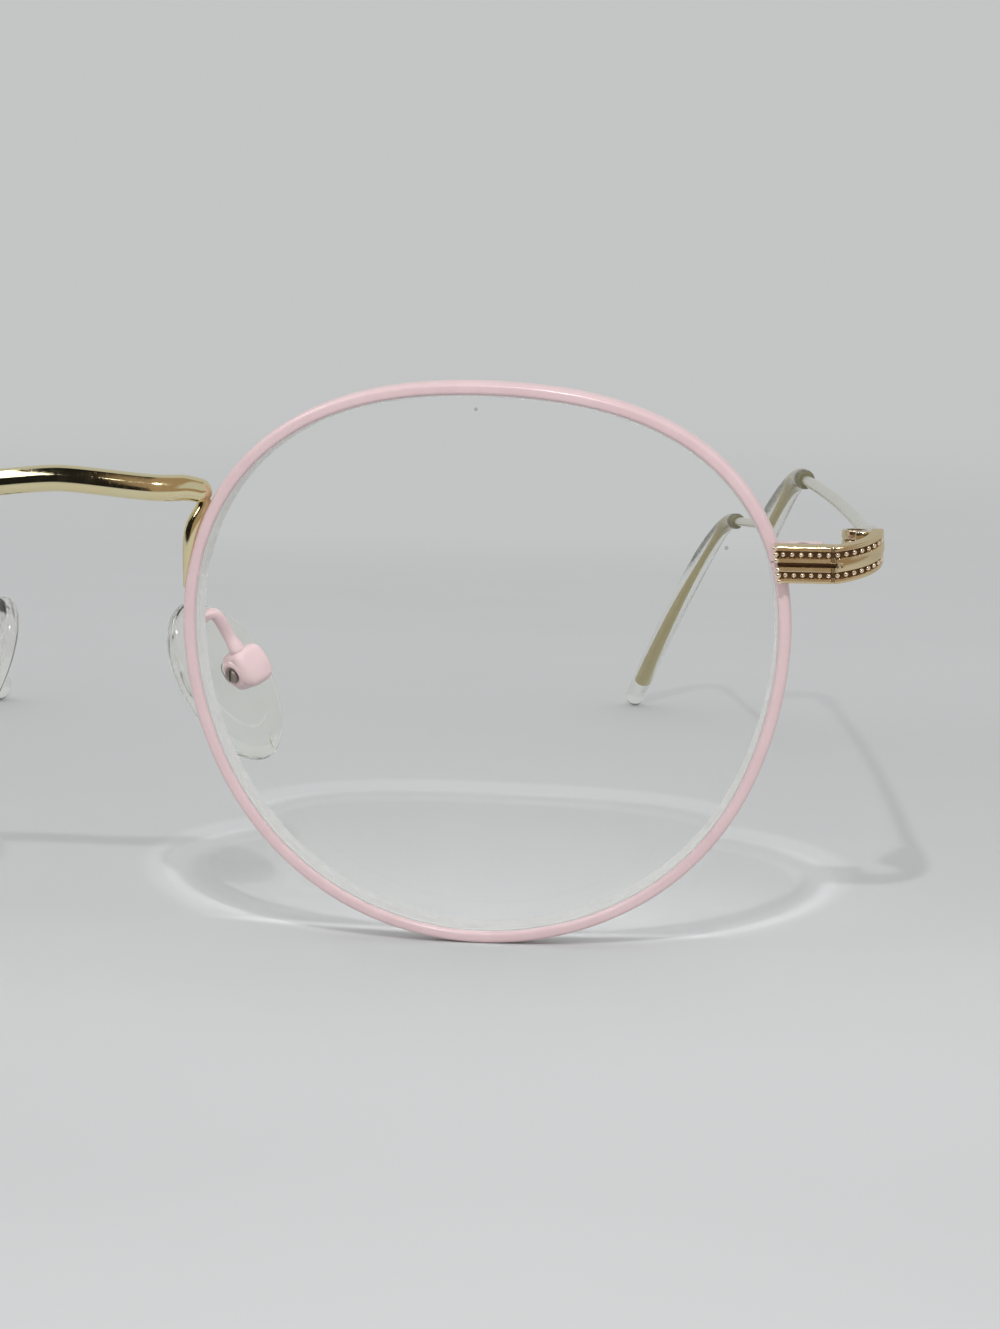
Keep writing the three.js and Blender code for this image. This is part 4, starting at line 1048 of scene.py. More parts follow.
@dataclass(frozen=True)
class NosePad:
    """One nose pad with its core, box, screw and arm."""

    front: Front
    eyewire: Eyewire
    length: float = 15.4
    width: float = 8.6
    thickness: float = 2.4
    taper: float = 0.1
    fullness: float = 0.42
    flatness: float = 0.8
    pad_sides: int = 96
    pad_rings: int = 40
    plate_edge: Pair = (0.57, 0.6)
    plate_rise: float = 0.2
    slant: float = math.radians(27)
    splay: float = math.radians(36)
    pivot_from_rim: float = 2.7
    pivot_back: float = 6.4
    pivot_height: float = -2.0
    below_pivot: float = 0.9
    standoff: float = 2.8
    box_length: float = 3.6
    box_width: float = 3.0
    box_back: float = 1.7
    box_mouth: float = 0.9
    box_wall: float = 0.5
    box_squareness: float = 3.2
    box_crown_share: float = 0.3
    box_lip: tuple[Pair, ...] = ((1.0, 0.12), (0.97, 0.03), (0.93, 0.0))
    collar_radius: float = 1.22
    collar_height: float = 0.08
    collar_sunk: float = 0.35
    collar_edge: float = 0.16
    collar_lip: float = 0.08
    collar_floor: float = 0.2
    boss_width: float = 1.2
    boss_radius: float = 0.9
    flange_length: float = 2.2
    flange_width: float = 1.4
    flange_thickness: float = 0.4
    core_squareness: float = 2.6
    core_edge: float = 0.1
    screw_radius: float = 0.45
    screw_gap: float = 0.1
    screw_head_radius: float = 0.68
    screw_head_height: float = 0.3
    screw_head_gap: float = 0.06
    screw_proud: float = 0.02
    slot_turn: float = math.radians(50)
    arm_radius: float = 0.5
    arm_base: float = 4.6
    arm_rise: float = 3.0
    arm_behind_lens: float = 1.13
    arm_shoulder: Pair = (0.65, 0.75)
    arm_approach: float = 1.3
    arm_off_centre: float = 0.5
    arm_flare: float = 0.35
    flare_from: float = 0.86

    @cached_property
    def frame(self) -> Matrix:
        """The pad's own frame: x along the screw to the front, y up the pad, z to the nose."""
        up = Vector((-math.sin(self.slant), 0, math.cos(self.slant)))
        flat = math.cos(self.splay)
        face = Vector((-flat * math.cos(self.slant), math.sin(self.splay), -flat * math.sin(self.slant)))
        edge = self.front.outline.edge(self.front.outline.angle_at(self.pivot_height, True))
        pivot = Vector((self.front.lens_x + edge.x + self.pivot_from_rim, self.pivot_back, self.pivot_height))
        columns = Matrix((up.cross(face), up, face)).transposed()
        return Matrix.Translation(pivot) @ columns.to_4x4()

    def placed(self, form: Form) -> Form:
        """A form of the pad's own frame as it stands on the table."""
        return form.moved(self.frame).moved(self.front.level)

    def build_pad(self) -> Form:
        """A drop, broad above, with flat faces, a round edge and its plate standing proud at the back."""
        turns = [math.tau * i / self.pad_sides for i in range(self.pad_sides)]
        top, foot = (-math.acos(share ** (1 / self.fullness)) for share in self.plate_edge)
        rings = []
        for lean in sorted([*evenly(-math.pi / 2, math.pi / 2, self.pad_rings), top, foot]):
            share = max(0.0, math.cos(lean)) ** self.fullness
            rise = math.copysign(abs(math.sin(lean)) ** self.flatness, lean)
            proud = self.plate_rise if lean <= top else 0.0
            z = self.standoff + self.thickness * (0.5 + rise / 2) - proud
            rings.append([Vector((self.width / 2 * math.cos(t) * (1 + self.taper * math.sin(t)) * share,
                                  self.length / 2 * math.sin(t) * share - self.below_pivot, z))
                          for t in turns])
        return self.placed(Form.loft(rings))

    def build_core(self) -> Form:
        """A post with an eye for the screw, on a flange against the back of the pad."""
        low, edge = self.standoff - self.flange_thickness, self.core_edge
        half, radius = self.boss_width / 2, self.boss_radius
        section = rounded_section(40, self.core_squareness)
        flange = Form.loft([ring_at(section, Z * z, X, Y, self.flange_width / 2 * share,
                                    self.flange_length / 2 * share)
                            for z, share in ((low, 0.9), (low + 0.08, 1), (self.standoff, 1))])
        post = Form.box((-half, -radius, 0), (half, radius, low + edge), edge)
        eye = Form.lathe([(0, -half), (radius - edge, -half), (radius, edge - half),
                          (radius, half - edge), (radius - edge, half), (0, half)])
        hole = Form.rod(self.screw_radius + self.screw_gap, -self.boss_width, self.boss_width)
        return self.placed(flange.joined(post, eye.moved(ACROSS)).cut(hole.moved(ACROSS)))

    def build_box(self) -> Form:
        """A rounded cup over the core, with a collar round the screw's head."""
        section = rounded_section(56, self.box_squareness)
        half_wide, half_long = self.box_width / 2, self.box_length / 2
        depth = self.box_back + self.box_mouth
        crown = self.box_crown_share * depth
        layers = [(math.sqrt(max(0.0, math.cos(turn))), -self.box_back + crown * (1 + math.sin(turn)))
                  for turn in evenly(-math.pi / 2, 0, 12)]
        layers += [(share, self.box_mouth - drop) for share, drop in self.box_lip]
        rings = [ring_at(section, Z * z, X, Y, share * half_wide, share * half_long) for share, z in layers]
        inner = (half_wide - self.box_wall, half_long - self.box_wall)
        floor = -self.box_back + self.box_wall
        rings += [ring_at(section, Z * z, X, Y, inner[0] * share, inner[1] * share)
                  for share, z in ((1, self.box_mouth), (1, floor + 0.2), (0.9, floor), (0, floor))]
        radius, edge, lip = self.collar_radius, self.collar_edge, self.collar_lip
        seat, top = half_wide - self.collar_sunk, half_wide + self.collar_height
        head, bottom = self.screw_head_radius + self.screw_head_gap, seat + self.collar_floor
        collar = Form.lathe([(0, seat), (radius, seat), (radius, top - edge), (radius - 0.05, top - 0.05),
                             (radius - edge, top), (head + lip, top), (head, top - lip), (head, bottom),
                             (0, bottom)])
        return self.placed(Form.loft(rings).joined(collar.moved(ACROSS)))

    def build_screw(self) -> Form:
        """The screw along the pad's pivot, with its head in the collar."""
        half = self.box_width / 2
        screw = slotted_screw(self.screw_radius, self.box_width + self.screw_proud, self.screw_head_radius,
                              self.screw_head_height)
        turned = ACROSS @ Matrix.Translation(Z * -half) @ Matrix.Rotation(self.slot_turn, 4, "Z")
        return self.placed(screw.moved(turned))

    def build_arm(self) -> Form:
        """A foot along the back of the rim, a loop clear of the lens, and down to the box."""
        front, outline = self.front, self.front.outline
        foot_back = front.rim_depth / 2 - front.solder_sink + self.arm_radius

        def foot(height: float) -> Vector:
            """A point of the foot at a height."""
            angle = outline.angle_at(height, True)
            return front.at(outline.offset(angle, front.rim_outside - self.arm_radius), foot_back)

        def over_box(height: float) -> Vector:
            """A point above the top of the box."""
            place = Vector((self.arm_off_centre, self.box_length / 2 + height, -self.box_back / 2))
            return self.frame @ place

        top_height = self.pivot_height + self.arm_base / 2
        low, high = foot(self.pivot_height - self.arm_base / 2), foot(top_height)
        lens_edge = outline.offset(outline.angle_at(top_height, True), -front.bevel_depth)
        lens_back = self.eyewire.back_at(lens_edge)
        loop_back = lens_back + self.arm_behind_lens + self.arm_radius - foot_back
        back_share, up_share = self.arm_shoulder
        shoulder = high + Vector((0, back_share * loop_back, up_share * self.arm_rise))
        approach = over_box(self.arm_approach)
        top = Vector(((high.x + approach.x) / 2, foot_back + loop_back, top_height + self.arm_rise))
        route = Route.spline([low, foot(self.pivot_height), high, shoulder, top, approach,
                              over_box(-self.arm_radius)])

        def radius_at(share: float) -> float:
            """The wire flares a little where it runs into the box."""
            return self.arm_radius * (1 + self.arm_flare * ease(self.flare_from, 1.0, share))

        return tube(route, radius_at, 110).moved(front.level)

    def dress(self, bench: Bench, side: Side) -> None:
        """Seats the pieces of one pad."""
        rocking = f"nose_pad_{side.label}"
        bench.seat(self.build_arm(), "pad_arm", side, "front", PINK_LACQUER)
        bench.seat(self.build_box(), "pad_box", side, "front", PINK_LACQUER)
        bench.seat(self.build_screw(), "pad_screw", side, "front", SCREW_STEEL_PAINTED_SHADE)
        bench.seat(self.build_core(), "pad_core", side, rocking, PAD_PLASTIC)
        bench.seat(self.build_pad(), "nose_pad", side, rocking, PAD_PLASTIC)


@dataclass(frozen=True)
class ClosingBlock:
    """The two halves of the block that closes the rim, and the screw through them."""

    front: Front
    length: float = 3.4
    height: float = 2.4
    back: float = 1.5
    edge: float = 0.22
    half_gap: float = 0.1
    screw_radius: float = 0.5
    screw_gap: float = 0.1
    head_radius: float = 0.85
    head_height: float = 0.3

    def near(self, height: float) -> float:
        """Where the block meets the outside of the rim at a height."""
        outline = self.front.outline
        angle = outline.angle_at(height, False)
        return outline.offset(angle, self.front.rim_outside - self.front.solder_sink).x

    @cached_property
    def far(self) -> float:
        """The block's outer end."""
        return self.near(self.front.endpiece_height) + self.length

    @cached_property
    def screw_place(self) -> Vector:
        """The screw's line, at the height of the lens middle."""
        back = (self.back - self.front.rim_depth / 2) / 2
        return Vector((self.front.lens_x + self.far - self.length / 2, back, 0))

    def build_half(self, low: float, high: float) -> Form:
        """One half between two heights above the endpiece's middle."""
        middle = self.front.endpiece_height
        outline = [(self.near(middle + low), middle + low), (self.far, middle + low),
                   (self.far, middle + high), (self.near(middle + high), middle + high)]
        block = Form.block(outline, -self.back, self.front.rim_depth / 2, self.edge)
        upright = Matrix.Translation(X * self.front.lens_x) @ Matrix.Rotation(math.pi / 2, 4, "X")
        hole = Form.rod(self.screw_radius + self.screw_gap, -self.height, self.height)
        at_screw = Matrix.Translation(self.screw_place + Z * middle)
        return block.moved(upright).cut(hole.moved(at_screw)).moved(self.front.level)

    def build_screw(self) -> Form:
        """The screw from below, flush with the top of the block."""
        screw = slotted_screw(self.screw_radius, self.height, self.head_radius, self.head_height)
        top = Z * (self.front.endpiece_height + self.height / 2)
        turned = Matrix.Translation(self.screw_place + top) @ Matrix.Rotation(math.pi, 4, "X")
        return screw.moved(turned).moved(self.front.level)

    def dress(self, bench: Bench, side: Side) -> None:
        """Seats both halves and the screw."""
        upper = self.build_half(self.half_gap, self.height / 2)
        lower = self.build_half(-self.height / 2, -self.half_gap)
        bench.seat(upper, "closing_block_upper", side, "front", PINK_LACQUER)
        bench.seat(lower, "closing_block_lower", side, "front", PINK_LACQUER)
        bench.seat(self.build_screw(), "rim_screw", side, "front", SCREW_STEEL_PAINTED_SHADE)


@dataclass(frozen=True)
class BeadRow:
    """Rows of small beads, set along lines by geometry nodes."""

    radius: float
    count: int

    @staticmethod
    def tree() -> bpy.types.NodeTree:
        """The node tree: lines in, evenly spaced beads out.

        Returns:
            The tree, with named inputs for the beads' radius, number and material.
        """
        found = bpy.data.node_groups.get("bead_rows")
        if found:
            return found
        wiring = new_group("bead_rows", {"Lines": "Geometry", "Bead Radius": "Float", "Beads": "Int",
                                         "Finish": "Material"}, {"Beads": "Geometry"}, "GeometryNodeTree")
        given = wiring.add("NodeGroupInput").outputs
        line = wiring.add("GeometryNodeMeshToCurve", {"Mesh": given["Lines"]})
        spaced = wiring.add("GeometryNodeResampleCurve", {"Curve": line.outputs[0], "Count": given["Beads"]},
                            mode="COUNT")
        bead = wiring.add("GeometryNodeMeshIcoSphere", {"Radius": given["Bead Radius"], "Subdivisions": 4})
        placed = wiring.add("GeometryNodeInstanceOnPoints", {"Points": spaced.outputs[0],
                                                             "Instance": bead.outputs[0]})
        real = wiring.add("GeometryNodeRealizeInstances", {0: placed.outputs[0]})
        dressed = wiring.add("GeometryNodeSetMaterial",
                             {"Geometry": real.outputs[0], "Material": given["Finish"]})
        wiring.add("NodeGroupOutput", {0: dressed.outputs[0]})
        return wiring.tree

    def build(self, name: str, lines: Sequence[Ring], bench: Bench, side: Side) -> None:
        """Sets the beads along lines and keeps them as a plain mesh.

        Args:
            name: The piece's name.
            lines: Points of each line on the left side, in millimetres, as many in each.
            bench: Where the piece is seated.
            side: The wearer's side.
        """
        turned = Vector((side.value, 1, 1))
        corners = [(point + bench.settle) * turned * MM for line in lines for point in line]
        size = len(lines[0])
        edges = [(i, i + 1) for i in range(len(corners) - 1) if (i + 1) % size]
        mesh = bpy.data.meshes.new(name)
        mesh.from_pydata(corners, edges, [])
        piece = new_object(name, mesh)
        tree = self.tree()
        step = piece.modifiers.new("beads", "NODES")
        step.node_group = tree
        values = {"Bead Radius": self.radius * MM, "Beads": self.count, "Finish": BEAD_GOLD_PAINTED_HIGHLIGHT.material}
        for item in tree.interface.items_tree:
            if item.in_out == "INPUT" and item.name in values:
                step[item.identifier] = values[item.name]
        graph = bpy.context.evaluated_depsgraph_get()
        plain = bpy.data.meshes.new_from_object(piece.evaluated_get(graph))
        piece.modifiers.remove(step)
        piece.data = plain
        plain.name = name
        bpy.data.meshes.remove(mesh)
        bench.dress(piece, "front", BEAD_GOLD_PAINTED_HIGHLIGHT, 180)


@dataclass(frozen=True)
class Endpiece:
    """The beaded plate from the rim round the corner to the hinge."""

    front: Front
    height: float = 3.1
    bend_height: float = 2.9
    bend_rise: float = 0.85
    rear_height: float = 1.9
    rear_rise: float = 0.25
    thickness: float = 1.0
    lap: float = -0.05
    flat: float = 4.95
    corner_radius: float = 3.4
    rear: float = 3.8
    solder: float = 0.25
    butt_gap: float = 0.3
    solder_gap: float = 0.2
    toe_in: float = math.radians(5.4)
    channel_depth: float = 0.2
    groove_depth: float = 0.3
    groove_share: float = 0.1
    channel_low_share: float = 0.385
    channel_high_share: float = 0.725
    edge_share: float = 0.035
    edge_round: float = 0.14
    visible_from: float = 0.25
    end_slant: float = 0.5
    end_round: float = 0.1
    channel_stop: Pair = (2.4, 1.4)
    groove_runout: float = 0.8
    notch_from_end: float = 4.8
    notch_width: float = 0.3
    notch_soft: Pair = (0.08, 0.06)
    notch_share: float = 0.8
    band_crown: float = 0.08
    bead_radius: float = 0.21
    bead_sunk: float = 0.3
    bead_share: float = 0.555
    first_bead: float = 0.82
    flat_beads: int = 6
    flat_pitch: float = 0.72
    bend_beads: int = 8
    bend_pitch: float = 0.62
    end_bead_radius: float = 0.23
    end_bead_shares: tuple[float, ...] = (0.25, 0.58, 0.88)

    @property
    def back_line(self) -> Vector:
        """The direction of the open temple."""
        return Vector((-math.sin(self.toe_in), math.cos(self.toe_in), 0))

    @property
    def out_line(self) -> Vector:
        """The outward direction square to the open temple."""
        return Vector((math.cos(self.toe_in), math.sin(self.toe_in), 0))

    @cached_property
    def start(self) -> Vector:
        """The middle of the plate's end on the rim, on the tilted front."""
        edge = self.front.outline.offset(self.front.closing_angle, self.lap)
        return self.front.at(edge, -self.front.rim_depth / 2 - self.solder_gap - self.thickness / 2)

    @cached_property
    def bend_centre(self) -> Vector:
        """The middle of the corner's bend, on the tilted front."""
        return self.start + Vector((self.flat, self.corner_radius, 0))

    @cached_property
    def butt(self) -> Vector:
        """Where the plate's rear end meets the temple, as it stands on the table."""
        return self.front.level(self.bend_centre + Vector((self.corner_radius, self.rear, 0)))

    def beside_butt(self, distance: float) -> Vector:
        """A point along the temple from the butt."""
        return self.butt + self.back_line * distance + Z * self.rear_rise

    @property
    def bend_length(self) -> float:
        """Length of the bend along the plate's middle."""
        return self.corner_radius * math.pi / 2

    @property
    def full_length(self) -> float:
        """Length of the whole plate along its middle."""
        return self.flat + self.bend_length + self.rear

    def station(self, along: float) -> tuple[Vector, Vector, Vector, float]:
        """The plate's place at a distance from its end on the rim.

        Args:
            along: Distance along its middle.

        Returns:
            The middle point, the outward direction, the upward direction and the half height.
        """
        front, half = self.front, self.height / 2
        lean = front.outline.normal(front.closing_angle)
        slanted = Vector((-self.end_slant * lean.y / lean.x, 0, 1))
        if along <= self.flat:
            up = slanted.lerp(Z, along / self.flat)
            return front.level(self.start + X * along), front.level(-Y), front.level(up), half
        share = min(1.0, (along - self.flat) / self.bend_length)
        turn = mix(-math.pi / 2, 0, share)
        out = Vector((math.cos(turn), math.sin(turn), 0))
        at = front.level(self.bend_centre + out * self.corner_radius + Z * share * self.bend_rise)
        rear_share = max(0.0, along - self.flat - self.bend_length) / self.rear
        at = at.lerp(self.beside_butt(-self.butt_gap / 2), rear_share)
        narrowed = mix(mix(self.height, self.bend_height, share), self.rear_height, rear_share)
        return (at, front.level(out).lerp(self.out_line, rear_share),
                front.level(Z).lerp(Z, rear_share), narrowed / 2)

    def relief(self, along: float, share: float) -> float:
        """How deep the outer face is cut at a place.

        Args:
            along: Distance from the plate's end on the rim.
            share: Height as a share of the half height, from -1 to 1.

        Returns:
            The depth below the rails, below 0 where it stands proud.
        """
        up, soft = abs(share), self.edge_share
        notch_at = self.notch_from_end
        channel = ease(self.channel_low_share - soft, self.channel_low_share + soft, up)
        channel *= 1 - ease(self.channel_high_share - soft, self.channel_high_share + soft, up)
        channel *= 1 - ease(*(self.full_length - left for left in self.channel_stop), along)
        on_flat = 1 - ease(notch_at, notch_at + self.groove_runout, along)
        groove = 1 - ease(self.groove_share - soft, self.groove_share + soft, up)
        outer, inner = self.notch_width / 2 + self.notch_soft[0], self.notch_width / 2 - self.notch_soft[1]
        notch = ease(outer, inner, abs(along - notch_at))
        notch *= ease(self.groove_share, self.groove_share + 2 * soft, up)
        crown = (1 - on_flat) * max(0.0, 1 - (up / self.channel_low_share) ** 2)
        rounding = max(0.0, up - 1 + self.edge_round) / self.edge_round
        cut = max(channel * self.channel_depth, groove * on_flat * self.groove_depth,
                  notch * self.notch_share * self.channel_depth)
        return cut - crown * self.band_crown + self.edge_round * (1 - math.sqrt(max(0.0, 1 - rounding ** 2)))

    def build(self) -> Form:
        """The plate, with its channels, groove and notch cut and painted shade marked on their floors."""
        heights = evenly(1, -1, 100)
        rings, marks = [], []
        first, last, radius = self.visible_from, self.full_length, self.end_round
        ends = [share * radius for share in (0.0, 0.2, 0.6)]
        stops = [*(first + end for end in ends), *evenly(first + 1.2 * radius, last - 1.2 * radius, 230),
                 *(last - end for end in reversed(ends))]
        for along in stops:
            at, out, up, half = self.station(along)
            short = max(0.0, 1 - min(along - first, last - along) / radius)
            end_round = radius * (1 - math.sqrt(max(0.0, 1 - short ** 2)))
            inner = -self.thickness / 2 - self.solder * (1 - ease(self.flat - 1, self.flat + 1, along))
            ring = []
            for share in heights:
                depth = self.relief(along, share)
                face = self.thickness / 2 - depth - end_round
                ring.append(at + out * face + up * (share * half))
                # Painted shade: the deeper the cut, the darker its floor is painted.
                marks.append(ease(0.5, 1.0, depth / self.channel_depth) if abs(share) < 0.9 else 0.0)
            for share in (-1, 1):
                ring.append(at + out * inner + up * (share * half))
                marks.append(0.0)
            rings.append(ring)
        return Form.loft(rings, marks=marks)

    def on_face(self, along: float, share: float, sink: float) -> Vector:
        """A point a little below the rails of the outer face."""
        at, out, up, half = self.station(along)
        return at + out * (self.thickness / 2 - sink) + up * (share * half)

    def dress(self, bench: Bench, side: Side) -> None:
        """Seats the plate and its rows of beads."""
        bench.seat(self.build(), "endpiece", side, "front", SHADE_PAINTED_GOLD, crease=40)
        sink = self.channel_depth - self.bead_radius * self.bead_sunk
        first_bend = self.first_bead + self.flat_beads * self.flat_pitch
        rows = {"flat": (self.first_bead, self.flat_beads, self.flat_pitch),
                "bend": (first_bend, self.bend_beads, self.bend_pitch)}
        for name, (low, count, pitch) in rows.items():
            walk = evenly(low, low + (count - 1) * pitch, 40)
            lines = [[self.on_face(along, sign * self.bead_share, sink) for along in walk]
                     for sign in (1, -1)]
            BeadRow(self.bead_radius, count).build(f"{side.label}_{name}_beads", lines, bench, side)
        ends = [[self.on_face(self.visible_from, sign * share, 0.0) for share in self.end_bead_shares]
                for sign in (1, -1)]
        BeadRow(self.end_bead_radius, len(ends[0])).build(f"{side.label}_end_beads", ends, bench, side)


@dataclass(frozen=True)
class Hinge:
    """The two leaves and the screw, about their own upright axis: x outwards, y back."""

    endpiece: Endpiece
    barrel_radius: float = 1.15
    barrel_height: float = 2.6
    middle_height: float = 0.9
    leaf_thickness: float = 0.8
    leaf_length: float = 2.9
    leaf_height: float = 1.4
    pivot_gap: float = 0.2
    knuckle_gap: float = 0.06
    edge: float = 0.12
    screw_radius: float = 0.45
    screw_gap: float = 0.04
    head_radius: float = 0.68
    head_height: float = 0.2
    head_gap: float = 0.06

    @cached_property
    def axis(self) -> Vector:
        """The hinge's upright axis."""
        inside = self.endpiece.thickness / 2 + self.endpiece.solder_gap + self.barrel_radius
        return self.endpiece.butt - self.endpiece.out_line * inside

    def knuckle(self, low: float, high: float) -> Form:
        """A round knuckle with eased edges."""
        r, e = self.barrel_radius, self.edge
        return Form.lathe([(0, low), (r - e, low), (r - 0.3 * e, low + 0.3 * e), (r, low + e),
                           (r, high - e), (r - 0.3 * e, high - 0.3 * e), (r - e, high), (0, high)], 56)

    def build_leaf(self, direction: int, knuckles: Sequence[Pair]) -> Form:
        """A plate along the metal that it is soldered to, with its knuckles.

        Args:
            direction: 1 for the temple's leaf, -1 for the front's.
            knuckles: Lowest and highest point of each knuckle.

        Returns:
            The leaf.
        """
        solder = self.endpiece.solder
        near = self.barrel_radius + self.pivot_gap
        far = near + self.leaf_length

        def between(x: Pair, y: Pair, z: Pair) -> Form:
            """A box on the leaf's side of the axis."""
            low, high = sorted(direction * value for value in y)
            return Form.box((x[0], low, z[0]), (x[1], high, z[1]), self.edge)

        plate = between((self.barrel_radius - self.leaf_thickness, self.barrel_radius + solder), (near, far),
                        (-self.leaf_height / 2, self.leaf_height / 2))
        webs = [between((0, self.barrel_radius + solder), (0, far / 2), span) for span in knuckles]
        barrels = [self.knuckle(*span) for span in knuckles]
        bore = Form.rod(self.screw_radius + self.screw_gap, -self.barrel_height, self.barrel_height)
        sinking = Form.rod(self.head_radius + self.head_gap, self.head_seat, self.barrel_height)
        return plate.joined(*webs, *barrels).cut(bore, sinking)

    @property
    def head_seat(self) -> float:
        """The height of the seat under the screw's head."""
        return self.barrel_height / 2 - self.head_height - self.pivot_gap

    def build_screw(self) -> Form:
        """The screw down through all the knuckles."""
        half = self.barrel_height / 2
        screw = slotted_screw(self.screw_radius, half + self.head_seat, self.head_radius, self.head_height)
        return screw.moved(Matrix.Translation(Z * -half))

    def dress(self, bench: Bench, side: Side) -> None:
        """Seats both leaves and the screw."""
        half, seam = self.barrel_height / 2, self.middle_height / 2 + self.knuckle_gap
        at_axis = Matrix.Translation(self.axis)
        toed_in = at_axis @ Matrix.Rotation(self.endpiece.toe_in, 4, "Z")
        front_leaf = self.build_leaf(-1, [(seam, half), (-half, -seam)])
        temple_leaf = self.build_leaf(1, [(-self.middle_height / 2, self.middle_height / 2)])
        bench.seat(front_leaf.moved(at_axis), "hinge_front_leaf", side, "front", SHADE_PAINTED_GOLD)
        bench.seat(self.build_screw().moved(at_axis), "hinge_screw", side, "front", SCREW_STEEL_PAINTED_SHADE)
        bench.seat(temple_leaf.moved(toed_in), "hinge_temple_leaf", side, f"temple_{side.label}", SHADE_PAINTED_GOLD)


@dataclass(frozen=True)
class Temple:
    """The arm, from a flat paddle to a thin wire, and the clear sleeve on its bent end."""

    endpiece: Endpiece
    table: float
    wire_radius: float = 0.6
    paddle_length: float = 5.4
    paddle_edge: float = 0.12
    taper_length: float = 4.0
    paddle_squareness: float = 6.0
    to_bend: float = 88.0
    drop: float = 0.8
    bow: float = 0.8
    reach: float = 46.0
    inward: float = 10.6
    mouth_radius: float = 1.08
    lip: tuple[Pair, ...] = ((0.35, 0.0), (0.1, 0.12), (0.0, 0.35))
    half_width: float = 1.55
    half_height: float = 1.9
    before_bend: float = 3.0
    start_handle: float = 12.0
    end_handle: Place = (0.5, 0.45, 0.6)
    widest_at: float = 0.33
    deepest_at: float = 0.77
    core_short_of_end: float = 6.3
    core_waist: float = 0.25
    core_waist_share: float = 0.14
    core_end_radius: float = 0.6
    core_painted_shade: float = 1.0
    bore_overlap: float = 0.02
    sides: int = 40

    @cached_property
    def arm_route(self) -> Route:
        """The straight run's middle line, in a slight outward bow."""
        end = self.endpiece
        start = end.butt + end.back_line * (self.paddle_length + self.taper_length)
        bend = end.butt + end.back_line * self.to_bend - Z * self.drop
        return Route.bezier(start, (start + bend) / 2 + end.out_line * 2 * self.bow, bend)

    def tip_route_to(self, height: float) -> Route:
        """The bent end's middle line, ending at a height."""
        end, bend = self.endpiece, self.arm_route.at(1)
        last = bend + end.back_line * self.reach - end.out_line * self.inward
        last.z = height
        fall = last - bend
        arrive = Vector(part * share for part, share in zip(fall, self.end_handle))
        return Route.bezier(bend, bend + self.arm_route.tangent(1) * self.start_handle, last - arrive, last)

    @cached_property
    def tip_route(self) -> Route:
        """The bent end's middle line, so low that the sleeve rests on the table."""
        height = self.table + self.half_height
        for _ in range(4):
            route = self.tip_route_to(height)
            lowest = min(corner.z for ring in self.sleeve_rings(route) for corner in ring)
            height -= lowest - self.table
        return self.tip_route_to(height)

    def rings(self, route: Route, section: Sequence[Pair], stops: Sequence[float],
              size_at: Callable[[float], Pair]) -> list[Ring]:
        """Rings of an upright section along a route.

        Args:
            route: The line to follow.
            section: The unit section, x across and y up.
            stops: Shares of the route's length.
            size_at: Half width and half height at a share.

        Returns:
            The rings.
        """
        made = []
        for stop in stops:
            along = route.tangent(stop)
            across = along.cross(Z).normalized()
            made.append(ring_at(section, route.at(stop), across, across.cross(along), *size_at(stop)))
        return made

    def sleeve_size(self, share: float) -> Pair:
        """The sleeve's half width and half height along the bent end."""
        return (mix(self.mouth_radius, self.half_width, ease(0, self.widest_at, share)),
                mix(self.mouth_radius, self.half_height, ease(0, self.deepest_at, share)))

    @property
    def core_end(self) -> float:
        """Where the wire ends inside the sleeve, as a share of the bent end."""
        return 1 - self.core_short_of_end / self.tip_route.length

    def sleeve_rings(self, route: Route) -> list[Ring]:
        """The sleeve's outside from the bend to its round end."""
        section = rounded_section(self.sides, 2)
        body = 1 - self.half_width / route.length

        def domed(share: float) -> Pair:
            """The sleeve's size, drawn in over its round end."""
            into = max(0.0, share - body) / (1 - body)
            shrink = math.sqrt(max(0.0, 1 - into ** 2))
            return tuple(size * shrink for size in self.sleeve_size(share))

        dome = [mix(body, 1, math.sin(math.radians(turn))) for turn in range(10, 91, 10)]
        return self.rings(route, section, [*evenly(0, body, 90), *dome], domed)

    def core_size(self, share: float) -> Pair:
        """The wire's half width and half height inside the sleeve: a waist, then a fuller end."""
        radius = mix(self.wire_radius, self.core_waist, ease(0, self.core_waist_share, share))
        radius = mix(radius, self.core_end_radius, ease(self.core_waist_share, 1, share))
        return radius, radius

    def bore_size(self, share: float) -> Pair:
        """The bore's half width and half height, a little inside the wire's."""
        radius = self.core_size(share)[0] - self.bore_overlap
        return radius, radius

    def build_tip(self) -> Form:
        """The sleeve, with a blind bore that hugs the wire."""
        section = rounded_section(self.sides, 2)
        bore = self.bore_size(0)[0]
        mouth = 1 - self.before_bend / self.arm_route.length
        lip = [(bore, 0.0), (bore + 0.1, 0.0)]
        lip += [(self.mouth_radius - inset, back) for inset, back in self.lip]
        rings = self.rings(self.tip_route, section, evenly(self.core_end, 0, 90), self.bore_size)
        marks = [0.0] * (len(rings) * self.sides)
        for radius, back in lip:
            place = [mouth + back / self.arm_route.length]
            rings += self.rings(self.arm_route, section, place, lambda _, size=radius: (size, size))
            # The mouth's lip is marked for the painted shade of the mouth finish.
            marks += [float(back < 0.2)] * self.sides
        rings += self.sleeve_rings(self.tip_route)
        marks += [0.0] * (len(rings) * self.sides - len(marks))
        return Form.loft(rings, marks=marks)

